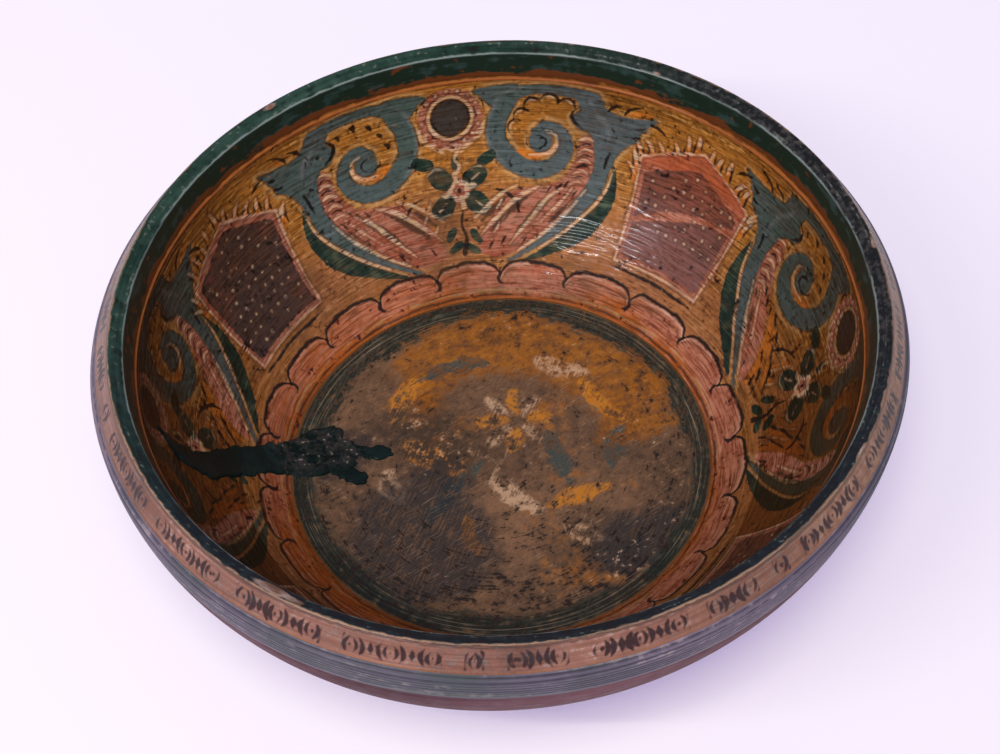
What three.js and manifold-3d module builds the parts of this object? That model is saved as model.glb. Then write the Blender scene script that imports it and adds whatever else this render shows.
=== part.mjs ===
// Painted wooden ale bowl: one turned piece of wood, with a crack on the inside filled with pitch.
// Millimetres, +Z up. The origin is on the surface that the bowl stands on, under the bowl's
// centre. -Y is the front, and the cracked side is at -X.

import * as THREE from 'three'
import { mergeVertices } from 'three/addons/utils/BufferGeometryUtils.js'
import Module from 'manifold-3d'

const wasm = await Module()
wasm.setup()

// Overall
const bowlHeight = 126
const rimRadius = 180
const ovalStretch = 0.0246
const ovalDegrees = 71
const turningSteps = 72

// Rim and the band for the running ornament below it
const rimWidth = 6.4
const rimFall = 3.3
const edgeRound = 0.9
const bandWidth = 11.4
const bandFlare = 7.2

// Turned lines round the belly
const grooveCount = 7
const grooveSpacing = 2.05
const grooveWidth = 0.9
const grooveDepth = 0.5
const firstGrooveBelowBand = 1.1

// Inside: lip, wall and floor
const lipWidth = 13
const lipSetback = 4.7
const lipGroove = 0.6
const wallStartPull = 30
const wallUndercut = 0.8
const wallEndPull = 41
const wallEndDegrees = 29
const floorRadius = 104.4
const floorDish = 2.7
const floorShoulder = 16
const floorLineCount = 2
const floorLineSpacing = 3.2
const floorLineDepth = 0.4

// Wood left between inside and outside
const wallAtBelly = 21
const wallAtTurn = 10
const wallThinning = 1.3
const floorThickness = 12

// Foot
const footRadius = 97
const footRingWidth = 11
const footHeight = 5
const footFlare = 1.5
const footRecess = 3.5

// Crack and its filling: each route runs inwards from the lip line, as distance in and to the side
const crackDepth = 3.2
const pitchClearance = 0.3
const pitchProud = 1.1
const crackStepLength = 5
const crackRuns = [
  {
    // from under the lip, down the wall and on to the floor
    route: [[11, -31], [24, -30], [34, -21.5], [46, -9], [59.5, -0.5], [74, 3.8], [86, 4.5]],
    halfWidths: [3.5, 8, 9.5, 10, 12, 13, 11]
  },
  {
    // a lump where the pitch was poured too full
    route: [[66, 7], [75, 12], [84, 17]],
    halfWidths: [6, 8, 5.5]
  },
  {
    // two tongues that run out on the floor
    route: [[84, 7.5], [94, 7], [104, 6.5], [110.5, 6]],
    halfWidths: [5.5, 4.5, 4.8, 3.8]
  },
  {
    route: [[84, -1.5], [90, -4.5], [96, -8], [100.5, -10]],
    halfWidths: [5.5, 4.5, 4, 3.2]
  }
]

// Places that several shapes share, as radius and height
const mouthRadius = rimRadius - rimWidth
const mouthHeight = bowlHeight - rimFall
const lipRadius = mouthRadius - lipSetback
const lipHeight = mouthHeight - lipWidth
const floorHeight = footRecess + floorThickness
const floorEdgeHeight = floorHeight + floorDish
const bandFootRadius = rimRadius + bandFlare
const bandFootHeight = bowlHeight - bandWidth

// Inside of the wall, from the lip line down to the edge of the floor, nearly upright at its top
function wallCurve() {
  const turn = THREE.MathUtils.degToRad(wallEndDegrees)
  return new THREE.CubicBezierCurve(
    new THREE.Vector2(lipRadius, lipHeight),
    new THREE.Vector2(lipRadius + wallUndercut, lipHeight - wallStartPull),
    new THREE.Vector2(
      floorRadius + wallEndPull * Math.cos(turn),
      floorEdgeHeight + wallEndPull * Math.sin(turn)
    ),
    new THREE.Vector2(floorRadius, floorEdgeHeight)
  )
}

// Floor from its edge to the middle, a very shallow dish
function floorCurve() {
  return new THREE.QuadraticBezierCurve(
    new THREE.Vector2(floorRadius, floorEdgeHeight),
    new THREE.Vector2(floorRadius - floorShoulder, floorHeight),
    new THREE.Vector2(0, floorHeight)
  )
}

// The wall's curve moved out through the wood, which thins from the belly to the turn above the foot
function outerWallLine(steps) {
  const curve = wallCurve()
  const points = []
  for (let step = 0; step <= steps; step++) {
    const t = step / steps
    const along = curve.getTangent(t)
    const outward = new THREE.Vector2(-along.y, along.x)
    const wood = wallAtTurn + (wallAtBelly - wallAtTurn) * Math.pow(1 - t, wallThinning)
    points.push(curve.getPoint(t).addScaledVector(outward, wood))
  }
  return points
}

// Value of a line of points at a given place, where from and to are its x and y or the other way
function along(line, from, to, place) {
  const next = line.findIndex(point => point[from] <= place)
  const a = line[next - 1]
  const b = line[next]
  return THREE.MathUtils.mapLinear(place, a[from], b[from], a[to], b[to])
}

// Outside from the band's foot to the foot of the bowl, top to bottom, with the turned lines
function outsideLine() {
  const belly = outerWallLine(120)
  const shoulder = new THREE.QuadraticBezierCurve(
    new THREE.Vector2(bandFootRadius, bandFootHeight),
    new THREE.Vector2(belly[0].x, (bandFootHeight + belly[0].y) / 2),
    belly[0]
  )
  const surface = [...shoulder.getPoints(20).slice(0, -1), ...belly]

  const points = [new THREE.Vector2(bandFootRadius, bandFootHeight)]
  for (let groove = 0; groove < grooveCount; groove++) {
    const middle = bandFootHeight - firstGrooveBelowBand - groove * grooveSpacing
    for (const [side, cut] of [[0.5, 0], [0, grooveDepth], [-0.5, 0]]) {
      const height = middle + side * grooveWidth
      points.push(new THREE.Vector2(along(surface, 'y', 'x', height) - cut, height))
    }
  }
  const clearOfGrooves = points.at(-1).y - grooveSpacing
  points.push(...outerWallLine(14).filter(point => point.y < clearOfGrooves))
  return points
}

// Foot ring, from its outer top edge round to the middle of the shallow recess
function footLine() {
  const inner = footRadius - footRingWidth
  return [
    new THREE.Vector2(footRadius, footHeight),
    new THREE.Vector2(footRadius + footFlare, edgeRound),
    new THREE.Vector2(footRadius + footFlare - edgeRound, 0),
    new THREE.Vector2(inner, 0),
    new THREE.Vector2(inner - edgeRound, footRecess - edgeRound),
    new THREE.Vector2(inner - 2 * edgeRound, footRecess),
    new THREE.Vector2(0, footRecess)
  ]
}

// Top of the rim, from the band's top edge to the mouth, falling inwards
function rimLine() {
  const fall = new THREE.Vector2(-rimWidth, -rimFall).normalize()
  const flare = new THREE.Vector2(bandFlare, -bandWidth).normalize()
  const edge = new THREE.Vector2(rimRadius, bowlHeight)
  const mouth = new THREE.Vector2(mouthRadius, mouthHeight)
  const outerRound = new THREE.QuadraticBezierCurve(
    edge.clone().addScaledVector(flare, edgeRound),
    edge,
    edge.clone().addScaledVector(fall, edgeRound)
  )
  const innerRound = new THREE.QuadraticBezierCurve(
    mouth.clone().addScaledVector(fall, -edgeRound),
    mouth,
    new THREE.Vector2(mouthRadius, mouthHeight - edgeRound)
  )
  return [...outerRound.getPoints(3), ...innerRound.getPoints(3)]
}

// Inside from the mouth to the middle of the floor, with a turned line under the lip and fine
// ones by the edge of the floor
function insideLine() {
  const points = [
    new THREE.Vector2(lipRadius, lipHeight + lipGroove / 2),
    new THREE.Vector2(lipRadius + lipGroove / 2, lipHeight),
    ...wallCurve().getPoints(15).slice(1)
  ]
  const floor = floorCurve()
  const surface = floor.getPoints(60)
  for (let line = 1; line <= floorLineCount; line++) {
    const middle = floorRadius - line * floorLineSpacing
    for (const [side, cut] of [[0.5, 0], [0, floorLineDepth], [-0.5, 0]]) {
      const radius = middle + side * grooveWidth
      points.push(new THREE.Vector2(radius, along(surface, 'x', 'y', radius) - cut))
    }
  }
  const clearOfLines = points.at(-1).x - floorLineSpacing
  points.push(...floor.getPoints(7).filter(point => point.x < clearOfLines))
  return points
}

// Turn a profile round the upright axis, then draw the round out to the oval of dried wood
function turned(profile) {
  const angle = THREE.MathUtils.degToRad(ovalDegrees)
  const geometry = new THREE.LatheGeometry(profile, turningSteps)
  geometry.rotateX(Math.PI / 2)
  geometry.rotateZ(-angle)
  geometry.scale(1 + ovalStretch, 1 - ovalStretch, 1)
  geometry.rotateZ(angle)
  return solidFrom(geometry)
}

// A three.js geometry as a solid that can be cut and joined
function solidFrom(geometry) {
  geometry.deleteAttribute('normal')
  geometry.deleteAttribute('uv')
  const merged = mergeVertices(geometry, 1e-3)
  const corners = merged.index.array
  const kept = []
  for (let i = 0; i < corners.length; i += 3) {
    const [a, b, c] = corners.slice(i, i + 3)
    if (a !== b && b !== c && c !== a) kept.push(a, b, c)
  }
  return new wasm.Manifold(new wasm.Mesh({
    numProp: 3,
    vertProperties: new Float32Array(merged.attributes.position.array),
    triVerts: new Uint32Array(kept)
  }))
}

function meshFrom(solid, name, material) {
  const result = solid.getMesh()
  const geometry = new THREE.BufferGeometry()
  geometry.setAttribute('position', new THREE.BufferAttribute(result.vertProperties, 3))
  geometry.setIndex(new THREE.BufferAttribute(result.triVerts, 1))
  geometry.computeVertexNormals()
  const mesh = new THREE.Mesh(geometry, material)
  mesh.name = name
  return mesh
}

// One run of the crack seen from above: a ribbon of changing width with pointed ends
function crackRun({ route, halfWidths }, extra) {
  const middle = new THREE.SplineCurve(
    route.map(([inwards, side]) => new THREE.Vector2(inwards - lipRadius, side))
  )
  const widths = new THREE.SplineCurve(halfWidths.map((half, i) => new THREE.Vector2(i, half)))
  const steps = Math.ceil(middle.getLength() / crackStepLength)
  const left = []
  const right = []
  for (let step = 0; step <= steps; step++) {
    const t = step / steps
    const half = widths.getPoint(t).y + extra
    const ahead = middle.getTangent(t)
    const across = new THREE.Vector2(-ahead.y, ahead.x)
    left.push(middle.getPoint(t).addScaledVector(across, half))
    right.unshift(middle.getPoint(t).addScaledVector(across, -half))
  }
  const tail = -halfWidths[0] - extra
  const head = halfWidths.at(-1) + extra
  const startTip = middle.getPoint(0).addScaledVector(middle.getTangent(0), tail)
  const endTip = middle.getPoint(1).addScaledVector(middle.getTangent(1), head)
  return new THREE.Shape([startTip, ...left, endTip, ...right])
}

// The whole crack as an upright block, wider by extra all round
function crackBlock(extra) {
  const upright = { depth: bowlHeight, bevelEnabled: false }
  return crackRuns
    .map(run => solidFrom(new THREE.ExtrudeGeometry(crackRun(run, extra), upright)))
    .reduce((whole, block) => whole.add(block))
}

// The skin of the inside, from a level above the wood to a level within it
function insideSkin(above, within) {
  const line = [...wallCurve().getPoints(15), ...floorCurve().getPoints(7).slice(1, -1)]
  const over = []
  const under = []
  line.forEach((point, i) => {
    const before = line[Math.max(i - 1, 0)]
    const after = line[Math.min(i + 1, line.length - 1)]
    const ahead = after.clone().sub(before).normalize()
    const inward = new THREE.Vector2(ahead.y, -ahead.x)
    over.push(point.clone().addScaledVector(inward, above))
    under.unshift(point.clone().addScaledVector(inward, -within))
  })
  return turned([...under, ...over, under[0]])
}

function makeBowl() {
  const outside = [...outsideLine(), ...footLine()].reverse()
  const crack = crackBlock(pitchClearance).intersect(insideSkin(2 * pitchProud, crackDepth))
  const wood = turned([...outside, ...rimLine(), ...insideLine()]).subtract(crack)
  const paint = new THREE.MeshStandardMaterial({ color: 0x8a5a26, roughness: 0.42, metalness: 0 })
  return meshFrom(wood, 'bowl', paint)
}

function makePitchFill() {
  const filling = crackBlock(0).intersect(insideSkin(pitchProud, crackDepth - pitchClearance))
  const pitch = new THREE.MeshStandardMaterial({ color: 0x17181a, roughness: 0.35, metalness: 0 })
  return meshFrom(filling, 'pitch_fill', pitch)
}

const aleBowl = new THREE.Group()
aleBowl.add(makeBowl(), makePitchFill())

export default aleBowl
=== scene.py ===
import math
import bpy
import numpy as np
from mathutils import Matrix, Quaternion, Vector


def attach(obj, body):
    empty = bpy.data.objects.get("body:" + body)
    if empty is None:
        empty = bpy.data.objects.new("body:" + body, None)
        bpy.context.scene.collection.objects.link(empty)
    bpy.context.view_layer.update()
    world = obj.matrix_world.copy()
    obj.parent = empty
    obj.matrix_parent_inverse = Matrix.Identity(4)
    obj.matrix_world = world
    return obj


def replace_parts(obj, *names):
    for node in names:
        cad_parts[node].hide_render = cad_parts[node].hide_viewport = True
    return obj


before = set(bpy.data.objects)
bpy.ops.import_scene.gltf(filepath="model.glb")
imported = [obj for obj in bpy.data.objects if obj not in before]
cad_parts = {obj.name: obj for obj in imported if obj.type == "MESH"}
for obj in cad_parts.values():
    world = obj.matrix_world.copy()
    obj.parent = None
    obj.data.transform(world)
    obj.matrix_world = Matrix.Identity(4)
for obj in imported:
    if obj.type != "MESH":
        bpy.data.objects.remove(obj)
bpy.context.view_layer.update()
scene = bpy.context.scene
mm = 0.001  # shapes are worked out in millimetres

# sizes of the turned bowl, as radius and height
bowl = dict(
    rim=(180.0, 126.0), rimWidth=6.4, rimFall=3.3, edgeRound=0.9,
    lip=(168.9, 109.7), lipGroove=0.5,
    floorEdge=(104.4, 18.2), floorHeight=15.5, floorShoulder=16.0,
    startPull=30.0, undercut=0.8, endPull=41.0, endTurn=29.0,
    bandWidth=11.4, bandFlare=7.2,
    woodAtBelly=21.0, woodAtTurn=10.0, thinning=1.3,
    ovalStretch=0.0246, ovalTurn=71.0, shrink=0.9996,
)


# Lines, distances and noise

def smoothLine(points, closed=False, steps=10):
    # Catmull-Rom curve: each stretch blends its four nearest points by cubic weights of t
    p = np.asarray(points, float)
    if closed:
        a, b, c, d = (np.roll(p, k, axis=0) for k in (1, 0, -1, -2))
    else:
        q = np.vstack([2 * p[0] - p[1], p, 2 * p[-1] - p[-2]])
        a, b, c, d = q[:-3], q[1:-2], q[2:-1], q[3:]
    t = np.arange(steps)[:, None, None] / steps
    line = b + 0.5 * t * (c - a + t * (2 * a - 5 * b + 4 * c - d + t * (3 * (b - c) + d - a)))
    line = line.transpose(1, 0, 2).reshape(-1, p.shape[1])
    return line if closed else np.vstack([line, p[-1]])


def stretchGaps(q, a, b):
    # how far each place q is from each stretch a to b, and how far along it the nearest point lies
    way = b - a
    along = np.einsum("...k,sk->...s", q, way) - np.einsum("sk,sk->s", a, way)
    t = np.clip(along / np.maximum(np.einsum("sk,sk->s", way, way), 1e-9), 0, 1)
    gap = q[..., None, :] - (a + t[..., None] * way)
    return np.hypot(gap[..., 0], gap[..., 1]), t


def lineDistance(q, p, half):
    # distance to the nearest point of a line, less the line's half width there
    gap, t = stretchGaps(q, p[:-1], p[1:])
    return (gap - half[:-1] - t * (half[1:] - half[:-1])).min(-1)


def outlineDistance(q, p):
    # distance to a closed outline, negative where a ray to the right crosses it an odd number of times
    a, b = p, np.roll(p, -1, axis=0)
    gap = stretchGaps(q, a, b)[0].min(-1)
    x, y = q[..., :1], q[..., 1:2]
    rise = np.where(b[:, 1] == a[:, 1], 1.0, b[:, 1] - a[:, 1])
    crossed = ((a[:, 1] > y) != (b[:, 1] > y)) & (x < a[:, 0] + (y - a[:, 1]) * (b[:, 0] - a[:, 0]) / rise)
    return np.where(crossed.sum(-1) % 2 == 1, -gap, gap)


lattice = 97  # random heights a side, after which the noise repeats


def mottle(x, y, size, seed):
    # smooth noise from -1 to 1: random heights on a square lattice, blended by 3t^2 - 2t^3
    heights = np.random.default_rng(seed).uniform(-1, 1, (lattice, lattice))
    i, j = np.floor(x / size).astype(int), np.floor(y / size).astype(int)
    s, t = x / size - i, y / size - j
    s, t = s * s * (3 - 2 * s), t * t * (3 - 2 * t)
    low, high = (heights[i % lattice, k % lattice] * (1 - s) + heights[(i + 1) % lattice, k % lattice] * s
                 for k in (j, j + 1))
    return low * (1 - t) + high * t


def ahead(line):
    # which way a line runs at each of its points, as unit vectors
    way = np.gradient(line, axis=0)
    return way / np.hypot(*way.T)[:, None]


def evenly(line, spacing):
    # the same line with its points at equal steps of its length
    length = np.concatenate([[0], np.cumsum(np.hypot(*np.diff(line, axis=0).T))])
    even = np.linspace(0, length[-1], max(2, int(round(length[-1] / spacing)) + 1))
    return np.column_stack([np.interp(even, length, line[:, k]) for k in (0, 1)]), even


# Profiles of the bowl

def bezier(points, t):
    # each round of blending neighbours by t leaves one point fewer, until the curve's point is left
    p = [np.asarray(point, float) for point in points]
    while len(p) > 1:
        p = [a * (1 - t[:, None]) + b * t[:, None] for a, b in zip(p[:-1], p[1:])]
    return p[0]


def wallCurve(t):
    # inside of the wall: cubic curve from the lip, nearly upright, to the floor at its end turn
    turn = math.radians(bowl["endTurn"])
    (lipR, lipZ), (floorR, floorZ) = bowl["lip"], bowl["floorEdge"]
    return bezier([
        (lipR, lipZ),
        (lipR + bowl["undercut"], lipZ - bowl["startPull"]),
        (floorR + bowl["endPull"] * math.cos(turn), floorZ + bowl["endPull"] * math.sin(turn)),
        (floorR, floorZ),
    ], t)


def floorCurve(t):
    # very shallow dish from the floor's edge to the middle
    floorR, z = bowl["floorEdge"]
    return bezier([(floorR, z), (floorR - bowl["floorShoulder"], bowl["floorHeight"]),
                   (0, bowl["floorHeight"])], t)


def outsideCurve():
    # the wall's curve moved out through the wood, with the shoulder under the band, top to bottom
    t = np.linspace(0, 1, 600)
    inside = wallCurve(t)
    way = ahead(inside)
    wood = bowl["woodAtTurn"] + (bowl["woodAtBelly"] - bowl["woodAtTurn"]) * (1 - t) ** bowl["thinning"]
    belly = inside + np.column_stack([-way[:, 1], way[:, 0]]) * wood[:, None]
    foot = bandFoot()
    shoulder = bezier([foot, (belly[0, 0], (foot[1] + belly[0, 1]) / 2), belly[0]], np.linspace(0, 1, 60))
    return np.vstack([shoulder[:-1], belly])


def bandFoot():
    return np.array([bowl["rim"][0] + bowl["bandFlare"], bowl["rim"][1] - bowl["bandWidth"]])


def rimCurve():
    # over the rim from the top of the band, down its inner face and into the groove at the lip
    edge = np.array(bowl["rim"])
    mouth = edge - (bowl["rimWidth"], bowl["rimFall"])
    lip, turn = np.array(bowl["lip"]), bowl["edgeRound"]
    flare = (bandFoot() - edge) / np.hypot(*(bandFoot() - edge))
    fall = (mouth - edge) / np.hypot(*(mouth - edge))
    drop = (lip - mouth) / np.hypot(*(lip - mouth))
    t = np.linspace(0, 1, 6)
    outer = bezier([edge + flare * turn, edge, edge + fall * turn], t)
    inner = bezier([mouth - fall * turn, mouth, mouth + drop * turn], t)
    groove = [lip - drop * 2.2, lip - drop * 1.2 + (bowl["lipGroove"], 0), lip]
    return np.vstack([outer, inner, groove])


def ovalled(r, az):
    # a round ring drawn out along one direction and in across it, as turned wood dries, a hair
    # inside the solid
    s, turn = bowl["ovalStretch"], 2 * math.radians(bowl["ovalTurn"])
    x, y = bowl["shrink"] * r * np.cos(az), bowl["shrink"] * r * np.sin(az)
    c, d = s * math.cos(turn), s * math.sin(turn)
    return (1 + c) * x + d * y, d * x + (1 - c) * y


# Meshes

def gridCells(rows, columns, closed=True):
    # four corners of each cell of a grid of points; closed joins its last column to its first
    i, j = np.arange(rows - 1)[:, None] * columns, np.arange(columns if closed else columns - 1)[None]
    beside = (j + 1) % columns
    return np.stack([i + j, i + beside, i + columns + beside, i + columns + j], -1).reshape(-1, 4)


def addPiece(name, points, faces, smooth, material, layers=None, places=None):
    # points in mm, faces as arrays with one row a face, layers as one number a point, places as
    # one spot of the paint map a corner
    mesh = bpy.data.meshes.new(name)
    mesh.vertices.add(len(points))
    mesh.vertices.foreach_set("co", (points * mm).ravel())
    corners = np.concatenate([f.ravel() for f in faces])
    sizes = np.concatenate([np.full(len(f), f.shape[1]) for f in faces])
    mesh.loops.add(len(corners))
    mesh.loops.foreach_set("vertex_index", corners)
    mesh.polygons.add(len(sizes))
    mesh.polygons.foreach_set("loop_start", np.cumsum(sizes) - sizes)
    mesh.polygons.foreach_set("use_smooth", smooth)
    mesh.update(calc_edges=True)
    # edges between a smooth and a flat face are sharp
    edge = np.empty(len(corners), np.int32)
    mesh.loops.foreach_get("edge_index", edge)
    share = np.bincount(edge, np.repeat(smooth, sizes).astype(float)) / np.bincount(edge)
    mesh.attributes.new("sharp_edge", "BOOLEAN", "EDGE").data.foreach_set("value", (share > 0) & (share < 1))
    for key, values in (layers or {}).items():
        mesh.attributes.new(key, "FLOAT", "POINT").data.foreach_set("value", np.ravel(values))
    if places is not None:
        mesh.uv_layers.new(name="OFBake").data.foreach_set("uv", places.ravel())
    mesh.materials.append(material)
    piece = bpy.data.objects.new(name, mesh)
    scene.collection.objects.link(piece)
    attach(piece, "root")
    print(name, len(mesh.polygons), "faces")
    return piece


def turnedShell(name, front, depth, columns, strips, material, layers=None, dents=None, backs=2):
    # ring solid: a profile carried round the axis, then back through the wood at the given depth;
    # the painted front comes first and its paint map is cut into strips; a layer is a grid over
    # the front, or one column where it is the same all round
    way = ahead(front)
    within = front - np.column_stack([way[:, 1], -way[:, 0]]) * depth
    within = within[np.linspace(len(front) - 1, 0, backs).astype(int)]
    profile = np.vstack([front, within])
    n, rows = len(profile), len(front)
    az = math.tau * np.arange(columns) / columns
    r = np.repeat(profile[:, :1], columns, axis=1)
    if dents is not None:
        r[:rows] += dents
    x, y = ovalled(r, az)
    points = np.stack([x, y, np.repeat(profile[:, 1:], columns, axis=1)], -1).reshape(-1, 3)
    faces = gridCells(n + 1, columns) % (n * columns)
    j = np.arange(columns)[None]
    smooth = np.repeat(np.arange(n) < rows - 1, columns)

    per = columns // strips
    hidden = np.arange(n) >= rows - 1
    top = np.where(hidden, (np.arange(n) - rows + 1) / (n - rows + 1), np.arange(n) / (rows - 1))
    foot = np.where(hidden, (np.arange(n) - rows + 2) / (n - rows + 1), (np.arange(n) + 1) / (rows - 1))
    strip = np.where(hidden[:, None], strips, j // per)
    left = np.where(hidden[:, None], j / columns, (j % per) / per)
    right = left + np.where(hidden[:, None], 1 / columns, 1 / per)
    spot = np.stack([left, right, right, left], -1) * 0.98 + 0.01
    level = np.stack(np.broadcast_arrays(top[:, None], top[:, None], foot[:, None], foot[:, None]), -1)
    level = (strip[..., None] + 0.04 + 0.92 * level) / (strips + 1)
    places = np.stack([spot, np.broadcast_to(level, spot.shape)], -1).reshape(-1, 2)

    full = {}
    for key, values in (layers or {}).items():
        grid = np.full((n, columns), far)
        grid[:rows] = values
        full[key] = grid
    return addPiece(name, points, [faces], smooth, material, full, places)


# Ornament on the wall

wall = dict(columns=1440, rows=192, length=116.5)
wallLine, down = evenly(wallCurve(np.linspace(0, 1, 3000)), wall["length"] / wall["rows"])
columnTurn = 360.0 / wall["columns"]
far = 9.0
around = dict(line=4.0, shape=5.0, round=3.0, wipe=8.0)  # mm round a shape where its distance is kept
layerNames = ("blue", "dark", "pink", "panel", "leaf", "pale", "disc", "warm", "hollow", "lit")


class Brush:
    # Paints shapes on the wall as signed distances in mm, negative inside. A place is degrees from
    # an axis and mm down from the lip; side and squeeze turn one design into each of its copies.
    def __init__(self, layers, axis, side=1, squeeze=1.0):
        self.layers, self.axis, self.side, self.squeeze = layers, axis, side, squeeze

    def chart(self, points, reach):
        # the part of the grid round the points, and both laid flat about the points' middle
        az = self.axis + self.side * self.squeeze * points[:, 0]
        v = points[:, 1]
        middle = (az.min() + az.max()) / 2
        ring = np.interp(v, down, wallLine[:, 0])
        spread = math.degrees(reach / ring.min())
        columns = np.arange(int((az.min() - spread) / columnTurn), int((az.max() + spread) / columnTurn) + 2)
        rows = np.nonzero((down >= v.min() - reach) & (down <= v.max() + reach))[0]
        x = np.radians(columns * columnTurn - middle)[None] * wallLine[rows, :1]
        y = np.broadcast_to(down[rows][:, None], x.shape)
        flat = np.column_stack([np.radians(az - middle) * ring, v])
        return np.ix_(rows, columns % wall["columns"]), np.stack([x, y], -1), flat

    def lay(self, layer, spot, distance):
        grid = self.layers[layer]
        grid[spot] = np.minimum(grid[spot], distance)

    def stroke(self, points, half, reach):
        # distance to a smooth line through the points, with its half width at each
        path = smoothLine(np.column_stack([points, half]))
        spot, q, flat = self.chart(path, reach)
        return spot, lineDistance(q, flat, path[:, 2])

    def line(self, layer, points, half):
        self.lay(layer, *self.stroke(points, half, around["line"] + max(half)))

    def shape(self, layer, points, smooth=True):
        path = smoothLine(points, True) if smooth else np.asarray(points, float)
        spot, q, flat = self.chart(path, around["shape"])
        distance = outlineDistance(q, flat)
        self.lay(layer, spot, distance)
        return spot, distance

    def dots(self, layer, points, radius):
        for point in np.asarray(points, float):
            spot, q, flat = self.chart(point[None], radius + around["round"])
            self.lay(layer, spot, np.hypot(*(q - flat[0]).transpose(2, 0, 1)) - radius)

    def wipe(self, layer, points, half):
        # takes a line out of a layer again
        spot, distance = self.stroke(points, half, around["wipe"])
        grid = self.layers[layer]
        grid[spot] = np.maximum(grid[spot], -distance)

    def ring(self, layer, centre, r, half, lobes=0, swell=0.0, arc=None):
        # band round a centre: how far the distance to the centre, with lobes, is off the radius
        spot, q, flat = self.chart(np.array([centre], float), r + half + abs(swell) + around["round"])
        gap = q - flat[0]
        turn = np.arctan2(gap[..., 1], gap[..., 0])
        band = abs(np.hypot(gap[..., 0], gap[..., 1]) - r - swell * np.cos(lobes * turn)) - half
        if arc:
            off = abs((np.degrees(turn) - arc[0] + 180) % 360 - 180) - arc[1]
            band = np.maximum(band, np.radians(off) * r)
        self.lay(layer, spot, band)

    def leaf(self, x, y, long, wide, tilt):
        # leaf from two arcs: its half width goes with the sine of the way along, to the power 0.8
        scale = math.radians(1) * np.interp(y, down, wallLine[:, 0])
        t = np.linspace(0, math.pi, 7)
        along, across = -long * np.cos(t), wide * np.sin(t) ** 0.8
        a = math.radians(tilt)
        u, w = np.append(along, along[-2:0:-1]), np.append(across, -across[-2:0:-1])
        self.shape("leaf", np.column_stack([x + (u * math.cos(a) - w * math.sin(a)) / scale,
                                            y + u * math.sin(a) + w * math.cos(a)]))


def paintScroll(brush, scalloped):
    # scroll from the leaf along the lip, round the outside and into its eye
    brush.line("blue", [(26, 7.5), (20, 5.9), (15, 6.2), (11.5, 9.5), (9.6, 17), (8.3, 27), (8.8, 37),
                        (11.2, 45.5), (15, 50.2), (18.6, 48.6), (20.9, 43), (21.4, 36), (20.2, 30),
                        (17.8, 27.4), (15.8, 30.5)],
               [3.4, 3.2, 3.0, 4.0, 5.2, 5.3, 5.2, 5.0, 4.6, 4.4, 4.2, 4.0, 3.8, 3.6, 3.0])
    brush.dots("blue", [(16.7, 35)], 6.2)
    brush.shape("blue", [(12, 3.4), (4.4, 6.2), (5.6, 10.5), (7.5, 16.5), (11, 14)])
    # ochre curl and its lit edge between the eye and the band
    brush.line("warm", [(17.9, 30.6), (19.3, 35.5), (18.4, 40.4), (15.8, 42.9), (13, 41)],
               [0.3, 0.9, 1.2, 2.0, 2.2])
    brush.line("pale", [(17.6, 29.6), (19.2, 31.2), (19.7, 35.5), (19, 39.8), (17, 42.2), (14.6, 42.6)],
               [0.3, 0.8, 1.0, 0.9, 0.7, 0.2])
    brush.line("dark", [(15.2, 31.6), (17.3, 33.2), (17.6, 36.6), (16.2, 39.2), (14.2, 37.6), (13.9, 34)],
               [0.2, 0.4, 0.5, 0.5, 0.4, 0.2])
    # lit stroke of the brush along the outside of the band
    brush.line("lit", [(13, 5.2), (9.2, 10), (7.4, 19), (6.4, 28), (7.0, 38), (9.8, 47.5)],
               [0.2, 0.8, 1.1, 1.1, 0.9, 0.3])
    # scallops or dabs along the outside of the ochre crescent
    eye, scale = np.array([16.9, 35]), 2.88  # mm in a degree there
    for turn, out in ((205, 15.6), (229, 17.2), (253, 20), (277, 22), (300, 23)):
        a = math.radians(turn)
        middle = eye + (out * math.cos(a) / scale, out * math.sin(a))
        if scalloped:
            b = a + np.linspace(-1.7, 1.7, 7)
            bulge = np.column_stack([middle[0] + 4.5 * np.cos(b) / scale, middle[1] + 4.5 * np.sin(b)])
            brush.line("dark", bulge, [0.3, 0.55, 0.7, 0.8, 0.7, 0.6, 0.3])
            brush.line("pale", middle + 0.72 * (bulge[2:5] - middle), [0.2, 0.45, 0.2])
        else:
            brush.line("dark", [middle + (0.6, -1.0), middle, middle + (-0.2, 2.2)], [0.5, 1.15, 0.3])


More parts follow.
